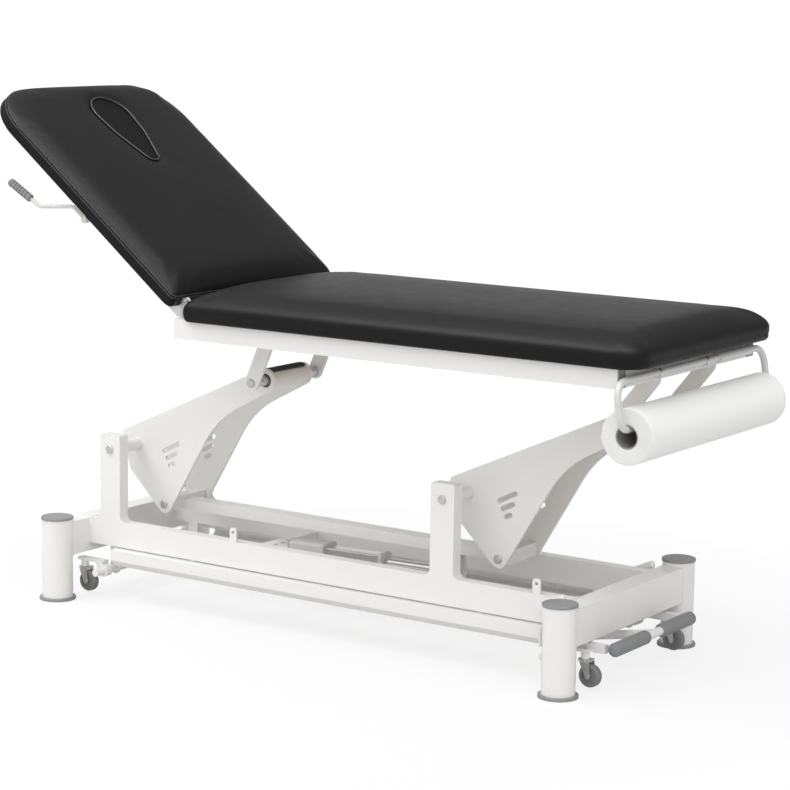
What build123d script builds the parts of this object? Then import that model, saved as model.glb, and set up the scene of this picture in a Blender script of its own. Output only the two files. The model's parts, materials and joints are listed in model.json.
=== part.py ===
from build123d import *
import math
import os

# Examination table with a lifting frame, a hinged backrest and a paper roll.
# X runs from the head end to the foot end, Y away from the front side, Z up from the floor.
# All lengths are millimetres. The pose is the one of a half raised lift and a half raised backrest.

# Base frame
leg_span_x = 1375
leg_span_y = 519
leg_dia = 72
leg_wall = 3
leg_top = 193
cap_dia = 76
cap_height = 6
spigot_depth = 12
pad_dia = 86
pad_height = 7
cross_width = 50
cross_bottom = 104
cross_height = 80
beam_width = 30
beam_bottom = 125
beam_height = 60
beam_inset = 84
tube_wall = 3
weld_gap = 0.1

# Posts and their pivots
post_width = 60
post_top = 392
post_flare = 16
post_edge = 4
head_post_x = -596
pivot_spacing = 936
pivot_height = 357
pivot_pin_dia = 16
pin_head_dia = 20
pin_head_height = 5
running_fit = 0.06
side_gap = 1

# Lifting cranks, measured from the post pivot in the photographed pose
arm_reach = 380
arm_rise = 190
tip_reach = 81
tip_drop = 138
boss_length = 71.5
boss_dia = 28
crank_thickness = 8
crank_root_radius = 36
crank_end_radius = 27
crank_tip_radius = 21
crank_corner_x = -37
crank_corner_z = 21
crank_corner_radius = 10
heel_x = -6
heel_z = -54
heel_radius = 20
elbow_reach = 242
elbow_rise = 110
elbow_radius = 10
crank_inner_radius = 240
slot_width = 11
slot_pitch = 19
slot_reach = 84
slot_rise = -28
slot_lengths = (56, 40, 24)
torque_dia = 46
torque_wall = 7
end_disc = 8
end_disc_depth = 22
spacer_dia = 23
tip_bolt_dia = 12
tip_bolt_grip = 40
buffer_thickness = 5
buffer_half_length = 60
buffer_arc = 70

# Tie bar between the crank tips
tie_width = 40
tie_height = 25
tie_drop = 6
block_side = 30
lug_x = 252.5
lug_z = 153
lug_thickness = 5
lug_inner_half = 11
lug_radius = 31
open_pivot_play = 18

# Actuator
anchor_x = -201.5
anchor_z = 143
anchor_pin_dia = 12
eye_radius = 13
member_width = 30
member_height = 26
member_gap = 20
motor_start = 12
motor_end = 120
motor_width = 56
motor_height = 52
barrel_reach = 270
barrel_side = 36
flange_thickness = 8
flange_side = 44
piston_dia = 22
piston_start = 170
bore_start = 70
lug_pin_dia = 10

# Bed frame
rail_start = -300
rail_end = 828
rail_bottom = 662
rail_height = 44
rail_width = 30
bed_half_width = 300
cross_rail_width = 30
cross_rail_height = 30
gas_anchor_x = -264.5
gas_rail_gap = 3
middle_rail_x = 340
head_bracket_run = 50
foot_bracket_run = 92
bracket_stand = 45.5
bracket_thickness = 8
bracket_radius = 18

# Upholstery
cushion_half_width = 320
seat_start = -277
seat_end = 880
seat_top = 781
board_thickness = 12
board_inset = 24
soft_gap = 0.3
seat_corner = 62
back_corner = 150
board_corner_share = 2 / 3
joint_corner = 18
skirt_inset = 5
shoulder_inset = 3
edge_round = 20
crown_rise = (12, 18, 20)
crown_end_run = (34, 60, 100)
crown_side_run = (90, 170, 250)

# Backrest, drawn flat and turned up about its hinge
hinge_x = -291
hinge_z = 742
back_angle = 38
back_gap = 10
back_length = 720
back_underside = 24
back_top = 42
hinge_pin_dia = 12
knuckle_radius = 9
hinge_plate = 6
arm_gap = 2
back_tube = 20
back_tube_wall = 2
back_frame_end = 600
arm_foot = 120
arm_fillet = 8
back_cross_at = (150, 246.5, 560)
plug_margin = 139
plug_wide_radius = 57
plug_run = 145
plug_narrow_radius = 23
plug_gap = 0.5
plug_lip = 6
plug_lip_height = 4
plug_sink = 5
lug_below = 24

# Gas spring
gas_base_z = 640
gas_lug_at = 246.5
gas_lug_drop = 68
gas_pin_dia = 10
gas_ear = 4
gas_eye_half = 11
gas_lug_radius = 24
gas_play = 14
gas_body_dia = 22
gas_body_start = 12
gas_body_end = 215
gas_rod_dia = 10
gas_rod_start = 95
gas_eye_radius = 11

# Release lever under the backrest
lever_y = -268
lever_rod_dia = 9
lever_boss_radius = 8
lever_width = 10
lever_ear = 4
lever_x = (335, 380, 457, 554)
lever_z = (53, 53, 120.5, 134.5)
lever_bend = 18
grip_dia = 19
grip_length = 76
grip_ribs = 6

# Paper roll and its holder
roll_x = 854.5
roll_z = 570
roll_dia = 115
roll_length = 606
core_dia = 50
core_bore = 46
holder_dia = 15
holder_top_x = 839.5
holder_top_z = 680
roll_side_gap = 24
holder_bend = 38
holder_foot_bend = 26
holder_break = (130, 200)
sleeve_dia = 20
sleeve_span = (112, 262)
clamp_y = (-155, 52)
clamp_width = 7
clamp_wall = 3.5
clamp_neck = 10

# Foot bars along both sides
bar_start = -575
bar_end = 603
bar_face_y = 199.5
bar_top = 122
bar_sheet = 2.5
bar_web = 25
bar_lip = 15
bar_hinge_y = 167
bar_hinge_z = 118
bar_tube_dia = 11
bar_pin_dia = 6
bar_tail_y = (154, 170)
bar_tail_z = (80, 98)
bar_tail_end = 745
hanger_x = (-352, 438)
hanger_width = 15
hanger_side_gap = 1.5
knob_dia = 13
knob_length = 9
hang_plate = 4

# Wheel lift
shaft_inset_head = 84
shaft_inset_foot = 62
shaft_z = 66
shaft_dia = 18
shaft_half = 222
collar_radius = 14
castor_shift = 20
castor_inset = 75
carrier_z = 84
carrier_thickness = 6
carrier_width = 20
carrier_reach = 14
carrier_boss = 9
lift_hanger_width = 28
pedal_x = 767
pedal_z = 92
pedal_half = 165
pedal_bare = 27
pedal_tube_dia = 19
foam_dia = 30
foam_end_round = 11

# Castors
wheel_dia = 49
wheel_z = 34
wheel_width = 18
hub_dia = 31
hub_recess = 2
castor_trail = 13
fork_gap = 1.5
fork_sheet = 2.5
fork_top = 68
fork_plate = 4
fork_half = 15
axle_dia = 6
axle_head = 2.5
stem_dia = 10

# Side levers near the foot end
side_lever_x = 602.5
side_lever_z = 165
side_lever_boss = 16
side_lever_rise = (7, 27)
side_lever_run = (12, 56)
side_rod_dia = 9
side_grip_dia = 17
side_lever_y = 193
side_pin_dia = 6

# Upright tabs on the side beams
tab_x = (-228.5, 579.5)
tab_width = 19
tab_height = 33
tab_thickness = 4
tab_hole_dia = 8

# One overrun for all cuts, and the share of a distance that counts as nothing
overrun = 5
tiny_share = 1e-6

# Places worked out from the sizes above
beam_outer = leg_span_y / 2 - beam_inset
beam_inner = beam_outer - beam_width
beam_top = beam_bottom + beam_height
leg_x = leg_span_x / 2
leg_y = leg_span_y / 2
foot_post_x = head_post_x + pivot_spacing
crank_outer = beam_inner - side_gap - boss_length
crank_inner = crank_outer - crank_thickness
torque_half_length = crank_outer
tip_z = pivot_height - tip_drop
bed_pivot_z = pivot_height + arm_rise
rail_top = rail_bottom + rail_height
rail_inner = bed_half_width - rail_width
bracket_inner = crank_outer + bracket_stand
holder_half_width = roll_length / 2 + roll_side_gap
plug_wide_at = back_gap + back_length - plug_margin
plug_narrow_at = plug_wide_at - plug_run
front_back = (-1, 1)
ends = {"head": (-leg_x, head_post_x), "foot": (leg_x, foot_post_x)}
turned_up = Pos(hinge_x, 0, hinge_z) * Rot(0, back_angle, 0)


def span(x, y, z):
    """A block between pairs of limits."""
    size = [abs(b - a) for a, b in (x, y, z)]
    centre = [(a + b) / 2 for a, b in (x, y, z)]
    return Pos(*centre) * Box(*size)


def side_span(side, x, y, z):
    """A block on the front or the rear side, with y measured outwards."""
    return span(x, (side * y[0], side * y[1]), z)


def rod_x(radius, x, y, z):
    return Pos((x[0] + x[1]) / 2, y, z) * Rot(0, 90, 0) * Cylinder(radius, x[1] - x[0])


def rod_y(radius, x, y, z):
    return Pos(x, (y[0] + y[1]) / 2, z) * Rot(90, 0, 0) * Cylinder(radius, abs(y[1] - y[0]))


def rod_z(radius, x, y, z):
    return Pos(x, y, (z[0] + z[1]) / 2) * Cylinder(radius, z[1] - z[0])


def slab(outline, y):
    """An outline in X and Z, given thickness along Y."""
    low, high = min(y), max(y)
    return extrude(Plane.XZ.offset(-low) * outline, amount=-(high - low))


def hull(*discs):
    """The outline stretched round discs given as (x, z, radius)."""
    points = []
    for first in discs:
        for second in discs:
            run, rise = second[0] - first[0], second[1] - first[1]
            distance = math.hypot(run, rise)
            if distance <= abs(first[2] - second[2]):
                continue
            angle = math.atan2(rise, run) - math.acos((first[2] - second[2]) / distance)
            across = (math.cos(angle), math.sin(angle))
            reach = [disc[0] * across[0] + disc[1] * across[1] + disc[2] for disc in discs]
            if max(reach) - reach[discs.index(first)] < distance * tiny_share:
                for disc in (first, second):
                    spot = (disc[0] + disc[2] * across[0], disc[1] + disc[2] * across[1])
                    if all(math.dist(spot, other) > distance * tiny_share for other in points):
                        points.append(spot)
    middle = [sum(values) / len(points) for values in zip(*points)]
    points.sort(key=lambda point: math.atan2(point[1] - middle[1], point[0] - middle[0]))
    outline = make_face(Polyline(*points, close=True))
    for x, z, radius in discs:
        outline += Pos(x, z) * Circle(radius)
    return outline


def box_tube(x, y, z, wall, along):
    """A rectangular tube, open at both ends along the named axis."""
    limits = {"x": x, "y": y, "z": z}
    inner = {}
    for axis, (low, high) in limits.items():
        grow = overrun if axis == along else -wall
        inner[axis] = (min(low, high) - grow, max(low, high) + grow)
    return span(x, y, z) - span(inner["x"], inner["y"], inner["z"])


def bent_rod(diameter, points, bends):
    """A round bar along straight runs joined by bends."""
    path = FilletPolyline(*points, radius=bends)
    section = Plane(origin=path @ 0, z_dir=path % 0) * Circle(diameter / 2)
    return sweep(section, path=path)


parts = {}
corners = [(leg_x * a, leg_y * b) for a in front_back for b in front_back]


def build_legs():
    radius = leg_dia / 2
    bore = radius - leg_wall
    for name, side in (("front", -1), ("rear", 1)):
        parts["leg_tubes_" + name] = [
            rod_z(radius, x, side * leg_y, (pad_height, leg_top))
            - rod_z(bore, x, side * leg_y, (pad_height - overrun, leg_top + overrun))
            for x in (-leg_x, leg_x)
        ]
    spigot = bore - weld_gap
    caps = []
    pads = []
    for x, y in corners:
        cap = rod_z(cap_dia / 2, x, y, (leg_top, leg_top + cap_height))
        cap = fillet(cap.edges().group_by(Axis.Z)[-1], cap_height / 3)
        caps.append(cap + rod_z(spigot, x, y, (leg_top - spigot_depth, leg_top)))
        pad = rod_z(pad_dia / 2, x, y, (0, pad_height))
        pad = fillet(pad.edges().group_by(Axis.Z)[-1], pad_height / 3)
        pads.append(pad + rod_z(spigot, x, y, (pad_height, pad_height + spigot_depth)))
    parts["leg_caps"] = caps
    parts["foot_pads"] = pads


def build_base_beams():
    height = (cross_bottom, cross_bottom + cross_height)
    for name, (x, post) in ends.items():
        beam = box_tube(
            (x - cross_width / 2, x + cross_width / 2), (-leg_y, leg_y), height, tube_wall, "y"
        )
        for side in front_back:
            beam -= rod_z(leg_dia / 2 + weld_gap, x, side * leg_y, (0, leg_top))
        parts["cross_beam_" + name] = [beam]
    inner = leg_x - cross_width / 2
    for name, side in (("front", -1), ("rear", 1)):
        parts["side_beam_" + name] = [
            box_tube(
                (-inner, inner), (side * beam_inner, side * beam_outer), (beam_bottom, beam_top),
                tube_wall, "x",
            )
        ]


def domed_head(x, side, face, z):
    """The round head of a pin, standing on a face."""
    head = rod_y(pin_head_dia / 2, x, (side * face, side * (face + pin_head_height)), z)
    crown = head.edges().group_by(Axis.Y)[-1 if side > 0 else 0]
    return fillet(crown, pin_head_height * 3 / 5)


def build_posts():
    half = post_width / 2
    rise = post_top - beam_top
    for name, side in (("front", -1), ("rear", 1)):
        pair = []
        for x in (head_post_x, foot_post_x):
            outline = Pos(x, beam_top + rise / 2) * Rectangle(post_width, rise)
            outline = fillet(outline.vertices().group_by(Axis.Y)[-1], post_edge)
            for turn in front_back:
                corner = x + turn * (half + post_flare / 2)
                web = Pos(corner, beam_top + post_flare / 2) * Rectangle(post_flare, post_flare)
                outer = x + turn * (half + post_flare)
                web -= Pos(outer, beam_top + post_flare) * Circle(post_flare)
                outline += web
            post = slab(outline, (side * beam_inner, side * beam_outer))
            post -= side_span(
                side,
                (x - half + tube_wall, x + half - tube_wall),
                (beam_inner + tube_wall, beam_outer - tube_wall),
                (beam_top - overrun, post_top - tube_wall),
            )
            bore = pivot_pin_dia / 2 + weld_gap
            reach = (side * (beam_inner - overrun), side * (beam_outer + overrun))
            pair.append(post - rod_y(bore, x, reach, pivot_height))
        parts["posts_" + name] = pair
    pins = []
    for side in front_back:
        for x in (head_post_x, foot_post_x):
            inner_end = crank_inner - pin_head_height
            pin = rod_y(pivot_pin_dia / 2, x, (side * inner_end, side * beam_outer), pivot_height)
            pin += domed_head(x, side, beam_outer, pivot_height)
            nut = (side * (inner_end - side_gap), side * (crank_inner - side_gap))
            pins.append(pin + rod_y(pin_head_dia / 2, x, nut, pivot_height))
    parts["crank_pivot_pins"] = pins


def crank_outline():
    """One crank plate, with its post pivot at the zero point."""
    arm = hull((0, 0, crank_root_radius), (arm_reach, arm_rise, crank_end_radius))
    heel = hull(
        (crank_corner_x, crank_corner_z, crank_corner_radius),
        (heel_x, heel_z, heel_radius),
        (tip_reach, -tip_drop, crank_tip_radius),
        (elbow_reach, elbow_rise, elbow_radius),
    )
    plate = arm + heel
    plate += hull(
        (crank_corner_x, crank_corner_z, crank_corner_radius),
        (0, 0, crank_root_radius),
        (arm_reach, arm_rise, crank_end_radius),
    )
    notch = plate.vertices().sort_by_distance((elbow_reach, elbow_rise - elbow_radius * 2))[0]
    plate = fillet(notch, crank_inner_radius)
    slope = math.degrees(math.atan2(arm_rise, arm_reach))
    for count, length in enumerate(slot_lengths):
        drop = (count - 1) * slot_pitch
        slot = Pos(slot_reach, slot_rise) * Rot(0, 0, slope) * Pos(length / 2, -drop)
        plate -= slot * SlotOverall(length, slot_width)
    plate -= Circle(pivot_pin_dia / 2 + running_fit)
    plate -= Pos(tip_reach, -tip_drop) * Circle(tip_bolt_dia / 2 + weld_gap)
    plate -= Pos(arm_reach, arm_rise) * Circle(torque_dia / 2 + weld_gap)
    return plate


def build_cranks():
    plate = crank_outline()
    boss_bore = pivot_pin_dia / 2 + running_fit
    for name, (end_x, post_x) in ends.items():
        bed_x = post_x + arm_reach
        for side_name, side in (("front", -1), ("rear", 1)):
            face = (side * crank_inner, side * crank_outer)
            solid = Pos(post_x, 0, pivot_height) * slab(plate, face)
            boss = (side * crank_outer, side * (crank_outer + boss_length))
            solid += rod_y(boss_dia / 2, post_x, boss, pivot_height)
            reach = (side * (crank_inner - overrun), side * beam_inner)
            solid -= rod_y(boss_bore, post_x, reach, pivot_height)
            parts[f"{name}_crank_plate_{side_name}"] = [solid]
        half = torque_half_length
        tube = rod_y(torque_dia / 2, bed_x, (-half, half), bed_pivot_z)
        through = (-half - overrun, half + overrun)
        tube -= rod_y(torque_dia / 2 - torque_wall, bed_x, through, bed_pivot_z)
        disc_outer = half - end_disc_depth
        for side in front_back:
            disc = (side * (disc_outer - end_disc), side * disc_outer)
            tube += rod_y(torque_dia / 2 - torque_wall / 2, bed_x, disc, bed_pivot_z)
        tube -= rod_y(pivot_pin_dia / 2 + weld_gap, bed_x, through, bed_pivot_z)
        parts[name + "_torque_tube"] = [tube]
        bolts = []
        for side in front_back:
            tip_x = post_x + tip_reach
            shank = (side * (crank_inner - tip_bolt_grip), side * crank_outer)
            bolt = rod_y(tip_bolt_dia / 2, tip_x, shank, tip_z)
            bolts.append(bolt + domed_head(tip_x, side, crank_outer, tip_z))
            outer = bracket_inner + bracket_thickness + side_gap / 2
            shank = (side * (disc_outer - end_disc), side * outer)
            bolt = rod_y(pivot_pin_dia / 2, bed_x, shank, bed_pivot_z)
            spacer = (side * (disc_outer + weld_gap), side * (bracket_inner - side_gap / 2))
            bolt += rod_y(spacer_dia / 2, bed_x, spacer, bed_pivot_z)
            bolts.append(bolt + domed_head(bed_x, side, outer, bed_pivot_z))
        parts[name + "_crank_bolts"] = bolts
    inner = torque_dia / 2
    strip = Circle(inner + buffer_thickness) - Circle(inner)
    wide = (inner + buffer_thickness) * 2
    wedge = Polyline(
        (0, 0),
        (wide * math.sin(math.radians(buffer_arc / 2)), wide * math.cos(math.radians(buffer_arc / 2))),
        (-wide * math.sin(math.radians(buffer_arc / 2)), wide * math.cos(math.radians(buffer_arc / 2))),
        close=True,
    )
    strip &= make_face(wedge)
    strip = slab(strip, (-buffer_half_length, buffer_half_length))
    parts["buffer_strip"] = [Pos(head_post_x + arm_reach, 0, bed_pivot_z) * strip]


def build_tie_bar():
    tips = (head_post_x + tip_reach, foot_post_x + tip_reach)
    half = block_side / 2
    reach = crank_inner - side_gap
    solids = []
    for x in tips:
        block = span((x - half, x + half), (-reach, reach), (tip_z - half, tip_z + half))
        for side in front_back:
            hole = (side * (reach - tip_bolt_grip - side_gap), side * (reach + overrun))
            block -= rod_y(tip_bolt_dia / 2 + running_fit, x, hole, tip_z)
        solids.append(block)
    centre = tip_z - tie_drop
    bar = (centre - tie_height / 2, centre + tie_height / 2)
    width = (-tie_width / 2, tie_width / 2)
    solids.append(box_tube((tips[0] + half, tips[1] - half), width, bar, tube_wall, "x"))
    for side in front_back:
        ear = hull((lug_x, lug_z, lug_radius), (lug_x, bar[0] - tie_height, lug_radius))
        top = Pos(lug_x, bar[0] + lug_radius) * Rectangle(lug_radius * 3, lug_radius * 2)
        ear = ear - top - Pos(lug_x, lug_z) * Circle(lug_pin_dia / 2 + open_pivot_play)
        limits = (side * lug_inner_half, side * (lug_inner_half + lug_thickness))
        solids.append(slab(ear, limits))
    parts["tie_bar"] = solids


def build_actuator():
    back = anchor_x - member_gap
    member_z = (beam_bottom + tube_wall, beam_bottom + tube_wall + member_height)
    member = box_tube(
        (back - member_width, back), (-beam_inner, beam_inner), member_z, tube_wall, "y"
    )
    ears = []
    for side in front_back:
        root = member_height / 2
        outline = hull((anchor_x, anchor_z, eye_radius), (back + root, member_z[0] + root, root))
        outline += Pos(back + root / 2, member_z[0] + root) * Rectangle(root, member_height)
        outline -= Pos(anchor_x, anchor_z) * Circle(anchor_pin_dia / 2 + weld_gap)
        limits = (side * lug_inner_half, side * (lug_inner_half + lug_thickness))
        ears.append(slab(outline, limits))
    end = lug_inner_half + lug_thickness
    pin = rod_y(anchor_pin_dia / 2, anchor_x, (-end, end), anchor_z)
    parts["base_cross_member"] = [member, *ears, pin]

    # The actuator is drawn along X from its anchor and then turned to meet the lug.
    length = math.hypot(lug_x - anchor_x, lug_z - anchor_z)
    tilt = math.degrees(math.atan2(lug_z - anchor_z, lug_x - anchor_x))
    place = Pos(anchor_x, 0, anchor_z) * Rot(0, -tilt, 0)
    eye_half = lug_inner_half - side_gap
    motor = span(
        (motor_start + eye_radius, motor_end), (-motor_width / 2, motor_width / 2),
        (-motor_height / 2, motor_height / 2),
    )
    motor = fillet(motor.edges().filter_by(Axis.X), motor_height / 6)
    eye = rod_y(eye_radius, 0, (-eye_half, eye_half), 0)
    eye += span((0, motor_start + eye_radius), (-eye_half, eye_half), (-eye_radius / 2, eye_radius / 2))
    motor += eye
    motor -= rod_y(anchor_pin_dia / 2 + running_fit, 0, (-motor_width, motor_width), 0)
    bore = rod_x(piston_dia / 2 + running_fit, (bore_start, barrel_reach + motor_end), 0, 0)
    half = flange_side / 2
    flange = span((barrel_reach, barrel_reach + flange_thickness), (-half, half), (-half, half))
    flange = fillet(flange.edges().filter_by(Axis.X), flange_side / 8)
    parts["actuator_motor"] = [place * (motor - bore), place * (flange - bore)]
    half = barrel_side / 2
    barrel = span((motor_end, barrel_reach), (-half, half), (-half, half))
    barrel = fillet(barrel.edges().filter_by(Axis.X), barrel_side / 10)
    groove = barrel_side / 9
    for turn in front_back:
        limits = (turn * (half - groove), turn * (half + groove))
        barrel -= span((motor_end, barrel_reach), limits, (-groove / 2, groove / 2))
    parts["actuator_tube"] = [place * (barrel - bore)]
    rod = rod_x(piston_dia / 2, (piston_start, length), 0, 0)
    rod += rod_y(piston_dia / 2 + weld_gap * piston_dia, length, (-eye_half, eye_half), 0)
    end = lug_inner_half + lug_thickness
    rod += rod_y(lug_pin_dia / 2, length, (-end, end), 0)
    parts["actuator_rod"] = [place * rod]


def build_bed_frame():
    height = (rail_bottom, rail_top)
    sides = [
        box_tube((rail_start, rail_end), (s * rail_inner, s * bed_half_width), height, tube_wall, "x")
        for s in front_back
    ]
    parts["bed_rails"] = sides
    half = cross_rail_width / 2
    low = (rail_bottom, rail_bottom + cross_rail_height)
    head_rail_x = head_post_x + arm_reach + head_bracket_run
    foot_rail_x = foot_post_x + arm_reach + foot_bracket_run
    rails = []
    gas_rail_x = gas_anchor_x + gas_rail_gap + half
    for x in (gas_rail_x, head_rail_x, middle_rail_x):
        rails.append(
            box_tube((x - half, x + half), (-rail_inner, rail_inner), low, tube_wall, "y")
        )
    end = (foot_rail_x - half, rail_end)
    rails.append(box_tube(end, (-rail_inner, rail_inner), height, tube_wall, "y"))
    ears = []
    for side in front_back:
        ear = hull((gas_anchor_x, gas_base_z, gas_pin_dia), (gas_rail_x, rail_bottom, half))
        ear -= Pos(gas_rail_x, rail_bottom + half) * Rectangle(half * 4, half * 2)
        ear -= Pos(gas_anchor_x, gas_base_z) * Circle(gas_pin_dia / 2 + weld_gap)
        inner = gas_eye_half + side_gap
        ears.append(slab(ear, (side * inner, side * (inner + gas_ear))))
    reach = gas_eye_half + side_gap + gas_ear
    pin = rod_y(gas_pin_dia / 2, gas_anchor_x, (-reach, reach), gas_base_z)
    parts["bed_cross_rails"] = [*rails, *ears, pin]

    drop = rail_bottom - bed_pivot_z
    brackets = []
    for post_x, run in ((head_post_x, head_bracket_run), (foot_post_x, foot_bracket_run)):
        x = post_x + arm_reach
        for side in front_back:
            plate = hull((x, bed_pivot_z, bracket_radius), (x + run, rail_bottom, bracket_radius))
            plate -= Pos(x + run, rail_bottom + bracket_radius) * Rectangle(drop, bracket_radius * 2)
            plate -= Pos(x, bed_pivot_z) * Circle(pivot_pin_dia / 2 + running_fit)
            limits = (side * bracket_inner, side * (bracket_inner + bracket_thickness))
            brackets.append(slab(plate, limits))
    parts["bed_brackets"] = brackets


def cushion(x, half_width, z, corner_radii):
    """A crowned pad between two ends, with its sides drawn in at the skirt and the shoulder."""
    length = x[1] - x[0]
    middle = (x[0] + x[1]) / 2
    bottom, top = z
    small, large = corner_radii
    top -= crown_rise[-1]
    steps = [
        (bottom, skirt_inset, skirt_inset),
        (bottom + edge_round * 2 / 3, 0, 0),
        (top - edge_round, shoulder_inset, shoulder_inset),
        (top - edge_round * 2 / 5, edge_round * 2 / 5, edge_round * 2 / 5),
        (top, edge_round, edge_round),
    ]
    steps += [(top + rise, *runs) for rise, *runs in zip(crown_rise, crown_end_run, crown_side_run)]
    sections = []
    for height, end_inset, side_inset in steps:
        rect = Pos(middle, 0) * Rectangle(length - end_inset * 2, (half_width - side_inset) * 2)
        by_x = rect.vertices().group_by(Axis.X)
        rect = fillet(by_x[0], small + end_inset / 4)
        by_x = rect.vertices().group_by(Axis.X)
        rect = fillet(by_x[-1], min(large - end_inset / 4, (half_width - side_inset) * 3 / 4))
        sections.append(Pos(0, 0, height) * rect)
    return loft(Sketch() + sections, ruled=True)


def build_seat():
    board_x = (seat_start + board_inset, seat_end - board_inset)
    board_y = bed_half_width - board_inset / 8
    board = span(board_x, (-board_y, board_y), (rail_top, rail_top + board_thickness))
    corner = seat_corner * board_corner_share
    board = fillet(board.edges().filter_by(Axis.Z), corner)
    parts["seat_board"] = [board]
    pad = cushion(
        (seat_start, seat_end), cushion_half_width, (rail_top + soft_gap, seat_top),
        (joint_corner, seat_corner),
    )
    pocket = span(
        (board_x[0] - soft_gap, board_x[1] + soft_gap), (-board_y - soft_gap, board_y + soft_gap),
        (rail_top - overrun, rail_top + board_thickness + soft_gap),
    )
    pocket = fillet(pocket.edges().filter_by(Axis.Z), corner)
    parts["seat_cushion"] = [pad - pocket]


def build_hinges():
    plates = []
    pins = []
    for side in front_back:
        outline = hull(
            (hinge_x, hinge_z, knuckle_radius), (hinge_x, rail_top + knuckle_radius, knuckle_radius)
        )
        outline += Pos(hinge_x, rail_top + knuckle_radius / 2) * Rectangle(
            knuckle_radius * 2, knuckle_radius
        )
        outline -= Pos(hinge_x, hinge_z) * Circle(hinge_pin_dia / 2 + weld_gap)
        plates.append(slab(outline, (side * rail_inner, side * (rail_inner + hinge_plate))))
        inner = rail_inner - arm_gap - hinge_plate - arm_gap
        outer = rail_inner + hinge_plate + arm_gap
        pins.append(rod_y(hinge_pin_dia / 2, hinge_x, (side * inner, side * outer), hinge_z))
    parts["bed_hinges"] = plates + pins


def teardrop(grow):
    """The face opening seen from above, with its broad end towards the head."""
    return hull(
        (-plug_wide_at, 0, plug_wide_radius + grow), (-plug_narrow_at, 0, plug_narrow_radius + grow)
    )


def build_backrest():
    under = -back_underside
    tube_z = (under - back_tube, under)
    arm_outer = rail_inner - arm_gap
    arm_inner = arm_outer - hinge_plate
    solids = []
    for side in front_back:
        solids.append(
            box_tube(
                (-back_frame_end, -back_gap * 2), (side * (arm_inner - back_tube), side * arm_inner),
                tube_z, back_tube_wall, "x",
            )
        )
        arm = Pos(0, tube_z[0] / 2) * Rectangle(knuckle_radius * 2, -tube_z[0])
        arm += Circle(knuckle_radius)
        arm += Pos((knuckle_radius - arm_foot) / 2, sum(tube_z) / 2) * Rectangle(
            arm_foot + knuckle_radius, back_tube
        )
        arm = fillet(arm.vertices().sort_by_distance((-knuckle_radius, under))[0], arm_fillet)
        arm = fillet(arm.vertices().sort_by_distance((knuckle_radius, tube_z[0]))[0], arm_fillet)
        arm -= Circle(hinge_pin_dia / 2 + running_fit)
        solids.append(slab(arm, (side * arm_inner, side * arm_outer)))
    half = back_tube / 2
    reach = arm_inner - back_tube
    for place in back_cross_at:
        solids.append(
            box_tube((-place - half, -place + half), (-reach, reach), tube_z, back_tube_wall, "y")
        )
    for side in front_back:
        ear = hull(
            (-gas_lug_at, -gas_lug_drop, gas_lug_radius), (-gas_lug_at, tube_z[0], gas_lug_radius)
        )
        cover = Pos(-gas_lug_at, tube_z[0] + gas_lug_radius) * Rectangle(
            gas_lug_radius * 3, gas_lug_radius * 2
        )
        ear = ear - cover - Pos(-gas_lug_at, -gas_lug_drop) * Circle(gas_pin_dia / 2 + gas_play)
        inner = gas_eye_half + side_gap
        solids.append(slab(ear, (side * inner, side * (inner + gas_ear))))
    pivot_x, pivot_z = -lever_x[0], -lever_z[0]
    ear = hull((pivot_x, pivot_z, lever_boss_radius), (pivot_x, tube_z[0], lever_boss_radius))
    ear -= Pos(pivot_x, tube_z[0] + lever_boss_radius) * Rectangle(
        lever_boss_radius * 4, lever_boss_radius * 2
    )
    ear_y = (lever_y + lever_width / 2 + side_gap, lever_y + lever_width / 2 + side_gap + lever_ear)
    ear_solid = slab(ear, ear_y)
    pin_y = (lever_y - lever_width / 2 - side_gap, ear_y[0])
    ear_solid += rod_y(lever_rod_dia / 4, pivot_x, pin_y, pivot_z)
    solids.append(ear_solid)
    parts["backrest_frame"] = [turned_up * s for s in solids]

    far = -back_gap - back_length
    board_y = bed_half_width - board_inset / 8
    board_x = (far + board_inset, -back_gap - board_inset)
    board = span(board_x, (-board_y, board_y), (under, under + board_thickness))
    corner = back_corner * board_corner_share
    board = fillet(board.edges().filter_by(Axis.Z), corner)
    hole = extrude(teardrop(plug_gap), amount=back_top * 4, both=True)
    parts["backrest_board"] = [turned_up * (board - hole)]
    pad = cushion(
        (back_gap, back_gap + back_length), cushion_half_width, (under + soft_gap, back_top),
        (joint_corner, back_corner),
    )
    pad = Rot(0, 0, 180) * pad
    pocket = span(
        (board_x[0] - soft_gap, board_x[1] + soft_gap), (-board_y - soft_gap, board_y + soft_gap),
        (under - overrun, under + board_thickness + soft_gap),
    )
    pocket = fillet(pocket.edges().filter_by(Axis.Z), corner)
    lip_low = back_top - plug_sink - plug_lip_height
    lip_hole = Pos(0, 0, lip_low) * extrude(teardrop(plug_lip + plug_gap), amount=back_top)
    parts["backrest_cushion"] = [turned_up * (pad - pocket - hole - lip_hole)]
    plug = Pos(0, 0, under) * extrude(teardrop(0), amount=lip_low - under)
    lip = Pos(0, 0, lip_low + soft_gap) * extrude(teardrop(plug_lip), amount=plug_lip_height)
    lip = fillet(lip.edges().group_by(Axis.Z)[-1], plug_lip_height / 2)
    joint = Pos(0, 0, lip_low) * extrude(teardrop(0), amount=soft_gap)
    parts["face_plug"] = [turned_up * (plug + joint + lip)]


def turned_point(x, z):
    """Where a point of the flat backrest lies in the raised pose."""
    a = math.radians(back_angle)
    return (
        hinge_x + x * math.cos(a) + z * math.sin(a),
        hinge_z - x * math.sin(a) + z * math.cos(a),
    )


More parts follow.
